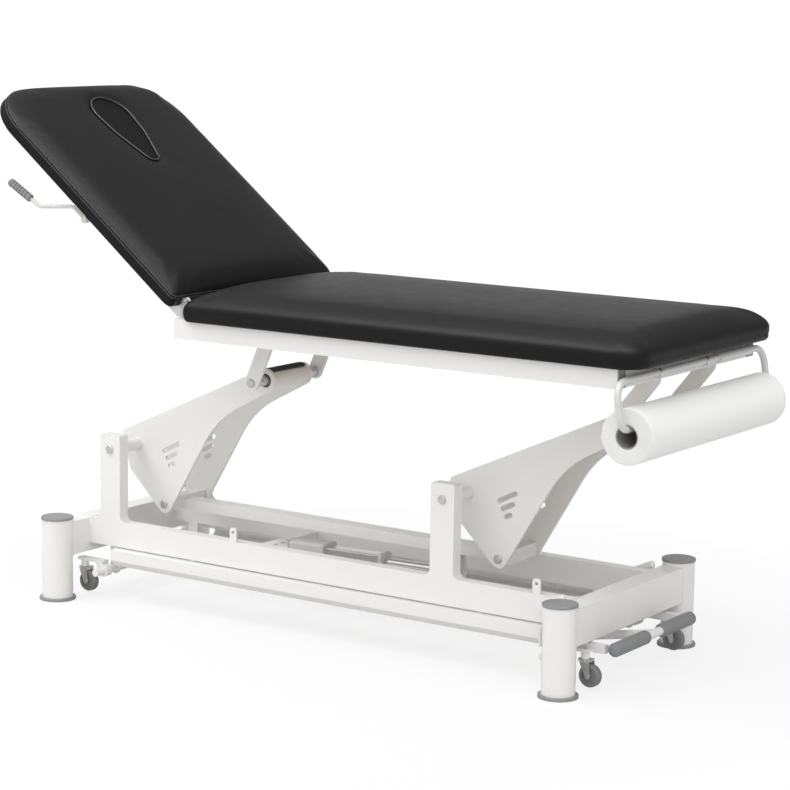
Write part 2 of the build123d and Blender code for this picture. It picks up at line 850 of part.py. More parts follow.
def build_gas_spring():
    top_x, top_z = turned_point(-gas_lug_at, -gas_lug_drop)
    length = math.hypot(top_x - gas_anchor_x, top_z - gas_base_z)
    tilt = math.degrees(math.atan2(top_z - gas_base_z, top_x - gas_anchor_x))
    place = Pos(gas_anchor_x, 0, gas_base_z) * Rot(0, -tilt, 0)
    half = gas_eye_half
    body = rod_x(gas_body_dia / 2, (gas_body_start, gas_body_end), 0, 0)
    body = fillet(body.edges().group_by(Axis.X)[-1], gas_body_dia / 8)
    eye = rod_y(gas_eye_radius, 0, (-half, half), 0)
    eye += rod_x(gas_rod_dia / 2, (0, gas_body_start), 0, 0)
    body += eye
    body -= rod_y(gas_pin_dia / 2 + running_fit, 0, (-half * 2, half * 2), 0)
    body -= rod_x(gas_rod_dia / 2 + running_fit, (gas_body_start * 2, gas_body_end * 2), 0, 0)
    parts["gas_cylinder"] = [place * body]
    rod = rod_x(gas_rod_dia / 2, (gas_rod_start, length), 0, 0)
    rod += rod_y(gas_eye_radius, length, (-half, half), 0)
    reach = half + side_gap + gas_ear
    rod += rod_y(gas_pin_dia / 2, length, (-reach, reach), 0)
    parts["gas_rod"] = [place * rod]


def build_release():
    points = [(-x, lever_y, -z) for x, z in zip(lever_x, lever_z)]
    rod = bent_rod(lever_rod_dia, points, lever_bend)
    boss = (lever_y - lever_width / 2, lever_y + lever_width / 2)
    rod += rod_y(lever_boss_radius, points[0][0], boss, points[0][2])
    rod -= rod_y(lever_rod_dia / 4 + running_fit, points[0][0], (2 * lever_y, 0), points[0][2])
    parts["release_lever"] = [turned_up * rod]
    end = -lever_rod_dia
    grip = rod_x(grip_dia / 2, (end, end + grip_length), 0, 0)
    grip = fillet(grip.edges(), grip_dia / 4)
    pitch = grip_length / (grip_ribs + 2)
    for count in range(grip_ribs):
        x = end + pitch * (count + 1.5)
        ring = rod_x(grip_dia, (x - pitch / 6, x + pitch / 6), 0, 0)
        ring -= rod_x(grip_dia * 0.44, (x - pitch, x + pitch), 0, 0)
        grip -= ring
    bore = (end + lever_rod_dia, end + grip_length + overrun)
    grip -= rod_x(lever_rod_dia / 2 + weld_gap, bore, 0, 0)
    lean = math.degrees(math.atan2(lever_z[-1] - lever_z[-2], lever_x[-1] - lever_x[-2]))
    parts["release_grip"] = [turned_up * Pos(*points[-1]) * Rot(0, -lean, 0) * grip]


def build_roll():
    half = roll_length / 2
    core = rod_y(core_dia / 2, roll_x, (-half, half), roll_z)
    core -= rod_y(core_bore / 2, roll_x, (-half - overrun, half + overrun), roll_z)
    parts["roll_core"] = [core]
    paper = rod_y(roll_dia / 2, roll_x, (-half, half), roll_z)
    paper -= rod_y(core_dia / 2 + weld_gap, roll_x, (-half - overrun, half + overrun), roll_z)
    parts["paper_roll"] = [paper]
    axle_z = roll_z + core_bore / 2 - holder_dia / 2 - soft_gap
    side = holder_half_width
    points = [
        (holder_top_x, holder_break[0], holder_top_z),
        (holder_top_x, -side, holder_top_z),
        (roll_x, -side, axle_z),
        (roll_x, side, axle_z),
        (holder_top_x, side, holder_top_z),
        (holder_top_x, holder_break[1], holder_top_z),
    ]
    sleeve = rod_y(sleeve_dia / 2, holder_top_x, sleeve_span, holder_top_z)
    sleeve -= rod_y(
        holder_dia / 2 + weld_gap, holder_top_x, (sleeve_span[0] - overrun, sleeve_span[1] + overrun),
        holder_top_z,
    )
    bends = [holder_bend, holder_foot_bend, holder_foot_bend, holder_bend]
    parts["roll_holder"] = [bent_rod(holder_dia, points, bends), sleeve]
    clamps = []
    for y in clamp_y:
        width = (y - clamp_width / 2, y + clamp_width / 2)
        radius = holder_dia / 2 + clamp_wall
        clamp = rod_y(radius, holder_top_x, width, holder_top_z)
        neck = (rail_end, holder_top_x)
        clamp += span(neck, width, (holder_top_z - clamp_neck / 2, holder_top_z + clamp_neck / 2))
        bore = (width[0] - overrun, width[1] + overrun)
        clamps.append(clamp - rod_y(holder_dia / 2 + weld_gap, holder_top_x, bore, holder_top_z))
    parts["roll_clamps"] = clamps


def build_foot_bars():
    gap = hanger_side_gap
    tube = bar_tube_dia / 2
    for name, side in (("front", -1), ("rear", 1)):
        sheet = bar_sheet
        web_low = bar_top - bar_web
        profile = Polyline(
            (bar_hinge_y, bar_top),
            (bar_face_y, bar_top),
            (bar_face_y, web_low),
            (bar_face_y - bar_lip, web_low - bar_lip),
            (bar_face_y - bar_lip - sheet, web_low - bar_lip + sheet),
            (bar_face_y - sheet, web_low + sheet / 2),
            (bar_face_y - sheet, bar_top - sheet),
            (bar_hinge_y, bar_top - sheet),
            close=True,
        )
        section = make_face(profile)
        plane = Plane(origin=(bar_start, 0, 0), x_dir=(0, 1, 0), z_dir=(1, 0, 0))
        bar = extrude(plane * section, amount=bar_end - bar_start)
        bar += rod_x(tube, (bar_start, bar_end), bar_hinge_y, bar_hinge_z)
        wall = (bar_end + weld_gap, bar_end + hang_plate)
        wall = span(wall, (bar_tail_y[0], bar_face_y), (bar_tail_z[0], bar_top))
        tail = span((bar_end + hang_plate + weld_gap, bar_tail_end), bar_tail_y, bar_tail_z)
        for x in hanger_x:
            half = hanger_width / 2 + gap
            cut = (bar_hinge_y - tube - gap, bar_hinge_y + tube + gap)
            bar -= span((x - half, x + half), cut, (bar_hinge_z - tube - gap, bar_top + overrun))
        bore = rod_x(
            bar_pin_dia / 2 + running_fit, (bar_start - overrun, bar_end + hang_plate + overrun),
            bar_hinge_y, bar_hinge_z,
        )
        pieces = [bar - bore, wall - bore, tail]
        if side < 0:
            pieces = [mirror(piece, about=Plane.XZ) for piece in pieces]
        parts["foot_bar_" + name] = pieces


def build_beam_brackets():
    """Small brackets that hang from the beams or stand on them."""
    solids = []
    for x in tab_x:
        tab = Pos(x, beam_top + tab_height / 2) * Rectangle(tab_width, tab_height)
        tab = fillet(tab.vertices().group_by(Axis.Y)[-1], tab_width * 2 / 5)
        tab -= Pos(x, beam_top + tab_height * 2 / 3) * Circle(tab_hole_dia / 2)
        solids.append(slab(tab, (-beam_outer, tab_thickness - beam_outer)))
    for side in front_back:
        tube = bar_tube_dia / 2
        y = (bar_hinge_y - tube, bar_hinge_y + tube)
        bore = bar_pin_dia / 2 + weld_gap
        z = (bar_hinge_z - tube, beam_bottom)
        outer_end = bar_end + hang_plate + hanger_side_gap
        starts = [bar_start - hanger_side_gap - hang_plate, outer_end]
        for x in starts:
            plate = side_span(side, (x, x + hang_plate), y, z)
            solids.append(plate - rod_x(bore, (x - overrun, x + hang_plate + overrun),
                                        side * bar_hinge_y, bar_hinge_z))
        for x in hanger_x:
            half = hanger_width / 2
            plate = side_span(side, (x - half, x + half), y, z)
            solids.append(plate - rod_x(bore, (x - hanger_width, x + hanger_width),
                                        side * bar_hinge_y, bar_hinge_z))
        pin = rod_x(bar_pin_dia / 2, (starts[0], starts[1] + hang_plate), side * bar_hinge_y, bar_hinge_z)
        knob = rod_x(knob_dia / 2, (starts[0] - knob_length, starts[0]), side * bar_hinge_y, bar_hinge_z)
        knob = fillet(knob.edges().group_by(Axis.X)[0], knob_length / 3)
        solids.append(pin + knob)
    parts["beam_brackets"] = solids

    hangers = []
    for side in front_back:
        for x in (-leg_x + shaft_inset_head, leg_x - shaft_inset_foot):
            half = lift_hanger_width / 2
            plate = hull((x, shaft_z, collar_radius), (x, beam_bottom, collar_radius))
            plate -= Pos(x, beam_bottom + half) * Rectangle(half * 4, half * 2)
            plate -= Pos(x, shaft_z) * Circle(shaft_dia / 2 + running_fit)
            y = (side * beam_inner, side * (beam_inner + hang_plate))
            hangers.append(slab(plate, y))
    parts["lift_hangers"] = hangers


def build_wheel_lift():
    castor_y = leg_y - castor_inset
    for name, x, stem_x in (
        ("head", -leg_x + shaft_inset_head, -leg_x + castor_shift),
        ("foot", leg_x - shaft_inset_foot, leg_x + castor_shift),
    ):
        solids = [rod_y(shaft_dia / 2, x, (-shaft_half, shaft_half), shaft_z)]
        toward = 1 if stem_x > x else -1
        for side in front_back:
            y = (side * castor_y - carrier_width / 2, side * castor_y + carrier_width / 2)
            tip = stem_x + toward * carrier_reach
            z = (carrier_z, carrier_z + carrier_thickness)
            arm = hull((x, shaft_z, collar_radius), (x + toward * collar_radius, z[1] - collar_radius / 2,
                                                     collar_radius / 2))
            carrier = slab(arm, y) + span((min(x, tip), max(x, tip)), y, z)
            boss = (fork_top + side_gap / 2, carrier_z)
            carrier += rod_z(carrier_boss, stem_x, side * castor_y, boss)
            bore = (fork_top, z[1] + overrun)
            carrier -= rod_z(stem_dia / 2 + running_fit, stem_x, side * castor_y, bore)
            carrier -= rod_y(shaft_dia / 2 + weld_gap, x, (y[0] - overrun, y[1] + overrun), shaft_z)
            solids.append(carrier)
        if name == "foot":
            path = Line((x, 0, shaft_z), (pedal_x, 0, pedal_z))
            section = Plane(origin=path @ 0, z_dir=path % 0) * Circle(pedal_tube_dia / 2)
            stalk = extrude(section, amount=path.length)
            stalk += rod_y(pedal_tube_dia / 2, pedal_x, (-pedal_half, pedal_half), pedal_z)
            half = pedal_tube_dia
            solids.append(stalk - rod_y(shaft_dia / 2 + weld_gap, x, (-half, half), shaft_z))
        parts["lift_shaft_" + name] = solids
    grips = []
    for side in front_back:
        y = (side * pedal_bare, side * (pedal_half + foam_end_round))
        grip = rod_y(foam_dia / 2, pedal_x, y, pedal_z)
        grip = fillet(grip.edges(), foam_end_round)
        bore = (side * (pedal_bare - overrun), side * pedal_half)
        grips.append(grip - rod_y(pedal_tube_dia / 2 + weld_gap, pedal_x, bore, pedal_z))
    parts["pedal_grips"] = grips


def build_castors():
    castor_y = leg_y - castor_inset
    names = {}
    for end, x in (("head", -leg_x + castor_shift), ("foot", leg_x + castor_shift)):
        for side_name, side in (("front", -1), ("rear", 1)):
            names[f"{end}_{side_name}"] = (x, side * castor_y)
    half = wheel_width / 2
    inner = half + fork_gap
    for name, (x, y) in names.items():
        axle_x = x + castor_trail
        plate = rod_z(fork_half, x, y, (fork_top - fork_plate, fork_top))
        bridge = (x - fork_half / 2, x + fork_half)
        low = (fork_top - fork_plate, fork_top)
        fork = plate + span(bridge, (y - inner - fork_sheet, y + inner + fork_sheet), low)
        cheek = hull(
            (axle_x, wheel_z, axle_dia), (x, fork_top - axle_dia, axle_dia),
            (x + fork_half - axle_dia, fork_top - axle_dia, axle_dia),
        )
        for turn in front_back:
            face = (y + turn * inner, y + turn * (inner + fork_sheet))
            fork += slab(cheek, face)
        fork -= rod_y(axle_dia / 2 + weld_gap, axle_x, (y - wheel_width, y + wheel_width), wheel_z)
        end = inner + fork_sheet + axle_head
        fork += rod_z(stem_dia / 2, x, y, (fork_top, carrier_z + carrier_thickness))
        axle = rod_y(axle_dia / 2, axle_x, (y - end, y + end), wheel_z)
        for turn in front_back:
            head = (y + turn * (inner + fork_sheet), y + turn * end)
            axle += rod_y(axle_dia * 3 / 4, axle_x, head, wheel_z)
        parts["castor_fork_" + name] = [fork, axle]
        tyre = rod_y(wheel_dia / 2, axle_x, (y - half, y + half), wheel_z)
        tyre = fillet(tyre.edges(), wheel_width / 4)
        tyre -= rod_y(hub_dia / 2, axle_x, (y - wheel_width, y + wheel_width), wheel_z)
        hub = rod_y(hub_dia / 2, axle_x, (y - half + hub_recess, y + half - hub_recess), wheel_z)
        hub += rod_y(axle_dia, axle_x, (y - half - fork_gap / 2, y + half + fork_gap / 2), wheel_z)
        hub -= rod_y(axle_dia / 2 + running_fit, axle_x, (y - wheel_width, y + wheel_width), wheel_z)
        parts["castor_wheel_" + name] = [tyre, hub]


def build_side_levers():
    for name, side in (("front", -1), ("rear", 1)):
        x, z = side_lever_x, side_lever_z
        y = side * side_lever_y
        points = [
            (x, y, z),
            (x + side_lever_run[0], y, z + side_lever_rise[0]),
            (x + side_lever_run[1], y, z + side_lever_rise[1]),
        ]
        lever = bent_rod(side_rod_dia, points, side_rod_dia)
        boss = (side * (beam_outer + side_gap), side * (side_lever_y + side_rod_dia / 2))
        lever += rod_y(side_lever_boss / 2, x, boss, z)
        start, end = points[1], points[2]
        path = Line(start, end)
        section = Plane(origin=path @ 0.05, z_dir=path % 0) * Circle(side_grip_dia / 2)
        grip = extrude(section, amount=path.length)
        grip = fillet(grip.edges(), side_grip_dia / 4)
        bore = Plane(origin=path @ 0, z_dir=path % 0) * Circle(side_rod_dia / 2)
        grip -= extrude(bore, amount=path.length)
        parts["side_lever_" + name] = [lever, grip]


def main():
    build_legs()
    build_base_beams()
    build_posts()
    build_cranks()
    build_tie_bar()
    build_actuator()
    build_bed_frame()
    build_seat()
    build_hinges()
    build_backrest()
    build_gas_spring()
    build_release()
    build_roll()
    build_foot_bars()
    build_beam_brackets()
    build_wheel_lift()
    build_castors()
    build_side_levers()
    whole = Compound(children=[s for solids in parts.values() for solid in solids for s in solid.solids()])
    box = whole.bounding_box()
    shift = -(box.min.X + box.max.X) / 2
    print("shift along X", round(shift, 4), "nodes", len(parts), box)
    os.makedirs("parts", exist_ok=True)
    for name, solids in parts.items():
        pieces = [Pos(shift, 0, 0) * s for solid in solids for s in solid.solids()]
        node = pieces[0] if len(pieces) == 1 else Compound(children=pieces)
        export_step(node, f"parts/{name}.step")


main()
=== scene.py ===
import json
import math
from contextlib import contextmanager

import bmesh
import bpy
from bpy.props import FloatProperty, FloatVectorProperty, IntProperty, PointerProperty
from bpy.types import Operator, Panel, PropertyGroup
from mathutils import Matrix, Vector
from mathutils.bvhtree import BVHTree


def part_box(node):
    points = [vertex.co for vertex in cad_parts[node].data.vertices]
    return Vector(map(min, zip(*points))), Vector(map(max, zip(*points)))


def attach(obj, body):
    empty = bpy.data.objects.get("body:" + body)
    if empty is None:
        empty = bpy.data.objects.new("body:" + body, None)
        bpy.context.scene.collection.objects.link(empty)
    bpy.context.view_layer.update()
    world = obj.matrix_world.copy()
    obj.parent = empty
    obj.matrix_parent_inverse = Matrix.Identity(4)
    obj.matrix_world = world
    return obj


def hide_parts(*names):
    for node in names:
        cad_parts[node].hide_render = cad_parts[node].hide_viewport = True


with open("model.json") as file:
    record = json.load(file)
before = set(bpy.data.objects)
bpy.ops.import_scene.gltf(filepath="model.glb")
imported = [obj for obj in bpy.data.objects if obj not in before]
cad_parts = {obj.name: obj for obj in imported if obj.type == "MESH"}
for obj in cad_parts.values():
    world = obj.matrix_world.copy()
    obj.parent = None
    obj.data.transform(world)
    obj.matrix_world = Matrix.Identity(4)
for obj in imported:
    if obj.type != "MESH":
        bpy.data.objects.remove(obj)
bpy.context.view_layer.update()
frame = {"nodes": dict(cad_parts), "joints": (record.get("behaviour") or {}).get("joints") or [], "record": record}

bl_info = {
    "name": "Examination Table",
    "version": (1, 0, 0),
    "blender": (4, 5, 0),
    "location": "3D View > Sidebar > Table",
    "description": "Dresses the table's frame with upholstery, finishes, fasteners and a studio",
    "category": "Object",
}

MM = 0.001
JOINTS = {joint["name"]: joint for joint in frame["joints"]}
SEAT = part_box("seat_cushion")

# Places of the base in millimetres from the middle between the legs, as at() takes them
LEG_X, LEG_Y, LEG_RADIUS = 687.5, 259.5, 36
HEAD_POST, FOOT_POST = -596, 340
SHIFT = Vector(JOINTS["lift"]["pos_m"]).x - HEAD_POST * MM

# The backrest's own plane: its origin is the hinge, x runs to the foot end and z points out of the cushion
HINGE = Vector(JOINTS["backrest_hinge"]["pos_m"])
BACK_TILT = math.radians(38)
BACK_PLACE = Matrix.Translation(HINGE) @ Matrix.Rotation(BACK_TILT, 4, "Y")


# Shader expressions


class Value:
    """A socket in a shader, which adds Math nodes as it is used in sums."""

    def __init__(self, shader, socket):
        self.shader, self.socket = shader, socket

    def _math(self, operation, *values):
        return self.shader.add("ShaderNodeMath", {"operation": operation}, values)

    def __add__(self, other):
        return self._math("ADD", self, other)

    def __sub__(self, other):
        return self._math("SUBTRACT", self, other)

    def __rsub__(self, other):
        return self._math("SUBTRACT", other, self)

    def __mul__(self, other):
        return self._math("MULTIPLY", self, other)

    __radd__, __rmul__ = __add__, __mul__

    def power(self, other):
        return self._math("POWER", self, other)

    def clamped(self, low=0.0, high=1.0):
        return self.shader.add("ShaderNodeClamp", {}, {"Value": self, "Min": low, "Max": high})


class Shader:
    """A shader tree that is built node by node."""

    def __init__(self, tree):
        self.tree = tree

    def add(self, kind, settings, inputs, output=0):
        """Adds a node: its settings first, then the values or links of its sockets."""
        node = self.tree.nodes.new(kind)
        for key, value in settings.items():
            setattr(node, key, value)
        pairs = inputs.items() if isinstance(inputs, dict) else enumerate(inputs)
        for key, value in pairs:
            if isinstance(value, Value):
                self.tree.links.new(value.socket, node.inputs[key])
            else:
                node.inputs[key].default_value = value
        return Value(self, node.outputs[output])

    def vectors(self, operation, *values, output="Vector"):
        return self.add("ShaderNodeVectorMath", {"operation": operation}, values, output)

    def camera_ray(self):
        return self.add("ShaderNodeLightPath", {}, {}, "Is Camera Ray")

    def show(self, output, surface):
        self.tree.links.new(surface.socket, output.inputs["Surface"])


class Finish(Shader):
    """One material, built from a principled surface and procedural maps."""

    def __init__(self, name, colour, roughness, metallic=0.0, coat=0.0, sheen=0.0, specular=0.5):
        self.material = bpy.data.materials.new(name)
        self.material.use_nodes = True
        super().__init__(self.material.node_tree)
        self.colour = colour
        self.surface = self.tree.nodes["Principled BSDF"]
        for socket, value in (
            ("Base Color", (*colour, 1)),
            ("Roughness", roughness),
            ("Metallic", metallic),
            ("Coat Weight", coat),
            ("Sheen Weight", sheen),
            ("Specular IOR Level", specular),
        ):
            self.surface.inputs[socket].default_value = value
        self.material.diffuse_color = (*colour, 1)
        self.material.roughness = roughness
        self.material.metallic = metallic
        self.place = self.add("ShaderNodeTexCoord", {}, {}, "Object")

    def noise(self, scale, detail=3.0, roughness=0.55, stretch=(1, 1, 1)):
        place = self.add("ShaderNodeMapping", {}, {"Vector": self.place, "Scale": stretch})
        inputs = {"Vector": place, "Scale": scale, "Detail": detail, "Roughness": roughness}
        return self.add("ShaderNodeTexNoise", {}, inputs, "Fac")

    def cells(self, scale, feature="F1"):
        inputs = {"Vector": self.place, "Scale": scale}
        return self.add("ShaderNodeTexVoronoi", {"feature": feature}, inputs, "Distance")

    def tint(self, pattern, low, high=1.0):
        """Shades the base colour by a pattern, from a low to a high share of itself."""
        dark, pale = shaded(self.colour, low), shaded(self.colour, high)
        inputs = {0: pattern, 6: (*dark, 1), 7: (*pale, 1)}
        self.feed("Base Color", self.add("ShaderNodeMix", {"data_type": "RGBA"}, inputs, 2))

    def feed(self, socket, value):
        self.tree.links.new(value.socket, self.surface.inputs[socket])

    def bump(self, height, strength, distance=0.0006):
        inputs = {"Height": height, "Strength": strength, "Distance": distance}
        self.feed("Normal", self.add("ShaderNodeBump", {}, inputs))


def shaded(colour, share):
    return tuple(channel * share for channel in colour)


def powder_coat(name, colour, peel=0.09):
    f = Finish(name, colour, 0.34, coat=0.12)
    f.tint(f.noise(5, 4), 0.965)
    f.feed("Roughness", 0.28 + f.noise(40, 3) * 0.14)
    f.bump(f.noise(520, 2) + f.noise(160, 2) * 0.6, peel)


def leatherette(name, colour, specular=0.15):
    f = Finish(name, colour, 0.42, specular=specular)
    f.tint(f.noise(7, 5), 0.86, 1.15)
    pebble = (f.cells(620, "DISTANCE_TO_EDGE") * 9).clamped()
    f.feed("Roughness", 0.38 + f.noise(26, 4) * 0.12 - pebble * 0.03)
    f.bump(pebble * 0.7 + f.noise(1400, 2) * 0.35 + f.noise(34, 3) * 0.9, 0.16, 0.0007)


def moulded(name, colour, roughness, grain=900):
    f = Finish(name, colour, roughness)
    f.tint(f.noise(18, 4), 0.9, 1.06)
    f.feed("Roughness", roughness - 0.06 + f.noise(60, 3) * 0.14)
    f.bump(f.noise(grain, 2), 0.12, 0.0004)


def foam_rubber(name, colour):
    f = Finish(name, colour, 0.78, sheen=0.1, specular=0.25)
    pores = f.cells(1500)
    f.tint(pores, 0.92, 1.05)
    f.feed("Roughness", 0.72 + f.noise(90, 3) * 0.16)
    f.bump(pores * 0.8 + f.noise(300, 3), 0.25)


def metal(name, colour, roughness, stretch=(1, 1, 1), scale=260, spread=0.12):
    f = Finish(name, colour, roughness, metallic=1.0)
    streak = f.noise(scale, 4, 0.6, stretch)
    f.tint(streak, 0.88)
    f.feed("Roughness", roughness - spread / 2 + streak * spread)
    f.bump(streak, 0.06, 0.0003)


def crepe_paper(name, colour):
    f = Finish(name, colour, 0.9, sheen=0.08, specular=0.2)
    ridges = f.noise(420, 3, 0.6, (1, 0.05, 1))
    crumple = f.noise(60, 5, 0.6, (1, 0.4, 1))
    f.tint(crumple, 0.975)
    f.feed("Roughness", 0.84 + ridges * 0.1)
    f.bump(ridges * 0.6 + crumple, 0.12)


def layered_paper(name, colour, axis):
    """The wound end of the roll, with its layers as fine rings round the axis."""
    f = Finish(name, colour, 0.92, specular=0.15)
    flat = f.vectors("MULTIPLY", f.vectors("SUBTRACT", f.place, axis), (1, 0, 1))
    inputs = {"W": f.vectors("LENGTH", flat, output="Value") * 900, "Scale": 3.0, "Detail": 4.0}
    layers = f.add("ShaderNodeTexNoise", {"noise_dimensions": "1D"}, inputs, "Fac")
    f.tint(layers, 0.93)
    f.feed("Roughness", 0.86 + layers * 0.1)
    f.bump(layers + f.noise(700, 2) * 0.3, 0.2)


def plywood(name, colour):
    f = Finish(name, colour, 0.7)
    grain = f.noise(30, 6, 0.6, (0.25, 3, 3))
    f.tint(grain, 0.72, 1.15)
    f.feed("Roughness", 0.62 + grain * 0.16)
    f.bump(grain, 0.2)


# Mesh and node helpers


def coat(name):
    return bpy.data.materials[name]


def at(x, y, z):
    """A point of the frame, from millimetres measured from the middle between the legs."""
    return Vector((x * MM + SHIFT, y * MM, z * MM))


def share_of(value, whole):
    """How much of a whole a value is, from none to all of it."""
    return min(max(value / whole, 0.0), 1.0)


def linked(name, data):
    obj = bpy.data.objects.new(name, data)
    bpy.context.scene.collection.objects.link(obj)
    return obj


def mesh_object(name, points, faces, materials):
    mesh = bpy.data.meshes.new(name)
    mesh.from_pydata([tuple(p) for p in points], [], faces)
    mesh.validate()
    mesh.polygons.foreach_set("use_smooth", [True] * len(mesh.polygons))
    for material in materials:
        mesh.materials.append(material)
    return linked(name, mesh)


def lofted(name, rings, materials, closed=False):
    """A mesh through rings of equal count, which return to the first or end in a cap each."""
    count, total = len(rings[0]), len(rings)
    faces = []
    for level in range(total if closed else total - 1):
        here, after = level * count, (level + 1) % total * count
        for k in range(count):
            beside = (k + 1) % count
            faces.append((here + k, here + beside, after + beside, after + k))
    if not closed:
        top = (total - 1) * count
        faces = [tuple(reversed(range(count))), *faces, tuple(range(top, top + count))]
    return mesh_object(name, [point for ring in rings for point in ring], faces, materials)


@contextmanager
def editing(obj):
    """Opens an object's mesh for editing and writes it back."""
    work = bmesh.new()
    work.from_mesh(obj.data)
    yield work
    work.to_mesh(obj.data)
    work.free()


def outward(obj):
    """Points a closed mesh's faces outwards."""
    with editing(obj) as work:
        bmesh.ops.recalc_face_normals(work, faces=work.faces)


def baked(obj):
    """Turns a mesh object and its live modifiers into a plain mesh."""
    graph = bpy.context.evaluated_depsgraph_get()
    mesh = bpy.data.meshes.new_from_object(obj.evaluated_get(graph), depsgraph=graph)
    materials = [slot.material for slot in obj.material_slots]
    obj.modifiers.clear()
    old = obj.data
    obj.data = mesh
    bpy.data.meshes.remove(old)
    mesh.name = obj.name
    if not mesh.materials:
        for material in materials:
            mesh.materials.append(material)


def transformed(obj, matrix):
    obj.data.transform(matrix)
    obj.data.update()


def fit_on(obj, body, slot, *nodes):
    """Lets a finished piece ride on its body and stand for its CAD nodes."""
    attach(obj, body)
    if nodes:
        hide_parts(*nodes)


class Recipe:
    """A Geometry Nodes tree that is built node by node."""

    def __init__(self, name, inputs):
        self.tree = bpy.data.node_groups.new(name, "GeometryNodeTree")
        sockets = self.tree.interface
        sockets.new_socket("Geometry", in_out="INPUT", socket_type="NodeSocketGeometry")
        for label, (kind, value) in inputs.items():
            socket = sockets.new_socket(label, in_out="INPUT", socket_type="NodeSocket" + kind)
            if kind != "Material":
                socket.default_value = value
        sockets.new_socket("Geometry", in_out="OUTPUT", socket_type="NodeSocketGeometry")
        self.given = self.tree.nodes.new("NodeGroupInput").outputs

    def add(self, kind, inputs, output=0, **settings):
        node = self.tree.nodes.new(kind)
        for key, value in settings.items():
            setattr(node, key, value)
        for key, value in inputs.items():
            if isinstance(value, bpy.types.NodeSocket):
                self.tree.links.new(value, node.inputs[key])
            else:
                node.inputs[key].default_value = value
        return node.outputs[output]

    def math(self, operation, first, second):
        return self.add("ShaderNodeMath", {0: first, 1: second}, operation=operation)

    def vector(self, x, y, z):
        return self.add("ShaderNodeCombineXYZ", {0: x, 1: y, 2: z})

    def finish(self, points, instance, rotation, spread=0.0):
        """Sets the instance on the points, and turns the lot into one mesh with its material."""
        size = self.add(
            "FunctionNodeRandomValue",
            {"Min": (1 - spread,) * 3, "Max": (1 + spread,) * 3, "Seed": self.given["Seed"]},
            data_type="FLOAT_VECTOR",
        )
        placed = self.add(
            "GeometryNodeInstanceOnPoints",
            {"Points": points, "Instance": instance, "Rotation": rotation, "Scale": size},
        )
        real = self.add("GeometryNodeRealizeInstances", {"Geometry": placed})
        done = self.add("GeometryNodeSetMaterial", {"Geometry": real, "Material": self.given["Material"]})
        out = self.tree.nodes.new("NodeGroupOutput")
        self.tree.links.new(done, out.inputs[0])


def grain_recipe():
    """Small rounded grains along a path: the stitches of a seam, or the ripples of a weld."""
    r = Recipe(
        "grains_along_path",
        {
            "Length": ("Float", 0.003), "Gap": ("Float", 0.0014), "Width": ("Float", 0.001),
            "Seed": ("Int", 3), "Material": ("Material", None),
        },
    )
    curve = r.add("GeometryNodeMeshToCurve", {"Mesh": r.given["Geometry"]})
    pitch = r.math("ADD", r.given["Length"], r.given["Gap"])
    spots = r.add("GeometryNodeCurveToPoints", {"Curve": curve, "Length": pitch}, mode="LENGTH")
    ball = r.add("GeometryNodeMeshUVSphere", {"Segments": 8, "Rings": 5, "Radius": 0.5})
    ball = r.add("GeometryNodeSetShadeSmooth", {"Geometry": ball})
    scale = r.vector(r.given["Width"], r.given["Width"], r.given["Length"])
    ball = r.add("GeometryNodeTransform", {"Geometry": ball, "Scale": scale})
    r.finish(spots, ball, spots.node.outputs["Rotation"], spread=0.06)
    return r.tree


def bolt_recipe():
    """A washer and a hexagon head on each point, standing along the point's aim."""
    r = Recipe(
        "bolt_heads",
        {
            "Washer": ("Float", 0.006), "Head": ("Float", 0.004), "Height": ("Float", 0.003),
            "Sides": ("Int", 6), "Seed": ("Int", 5), "Material": ("Material", None),
        },
    )
    height = r.given["Height"]
    thin = r.math("MULTIPLY", height, 0.3)
    washer = r.add(
        "GeometryNodeMeshCylinder", {"Vertices": 24, "Radius": r.given["Washer"], "Depth": thin}
    )
    head = r.add(
        "GeometryNodeMeshCylinder",
        {"Vertices": r.given["Sides"], "Radius": r.given["Head"], "Depth": height},
    )
    lift = r.vector(0.0, 0.0, r.math("MULTIPLY", height, 0.5))
    head = r.add("GeometryNodeTransform", {"Geometry": head, "Translation": lift})
    both = r.tree.nodes.new("GeometryNodeJoinGeometry")
    for part in (washer, head):
        r.tree.links.new(part, both.inputs[0])
    aim = r.add("GeometryNodeInputNamedAttribute", {"Name": "aim"}, data_type="FLOAT_VECTOR")
    turn = r.add("FunctionNodeAlignRotationToVector", {"Vector": aim}, axis="Z")
    r.finish(r.given["Geometry"], both.outputs[0], turn)
    return r.tree


def run_recipe(obj, name, maker, **values):
    """Runs a recipe on an object, making its tree the first time, and leaves a plain mesh."""
    tree = bpy.data.node_groups.get(name) or maker()
    step = obj.modifiers.new("Recipe", "NODES")
    step.node_group = tree
    for item in tree.interface.items_tree:
        if item.in_out == "INPUT" and item.name in values:
            step[item.identifier] = values[item.name]
    baked(obj)


def grains(name, body, slot, finish, paths, size):
    """Stitches or weld ripples of one body along paths, each a list of points and whether it closes."""
    points, edges = [], []
    for path, closed in paths:
        first, last = len(points), len(points) + len(path) - 1
        points += [tuple(p) for p in path]
        edges += [(k, k + 1) for k in range(first, last)]
        if closed:
            edges.append((last, first))
    mesh = bpy.data.meshes.new(name)
    mesh.from_pydata(points, edges, [])
    obj = linked(name, mesh)
    length, gap, width = size
    run_recipe(
        obj, "grains_along_path", grain_recipe,
        Length=length, Gap=gap, Width=width, Seed=3, Material=coat(finish),
    )
    fit_on(obj, body, slot)


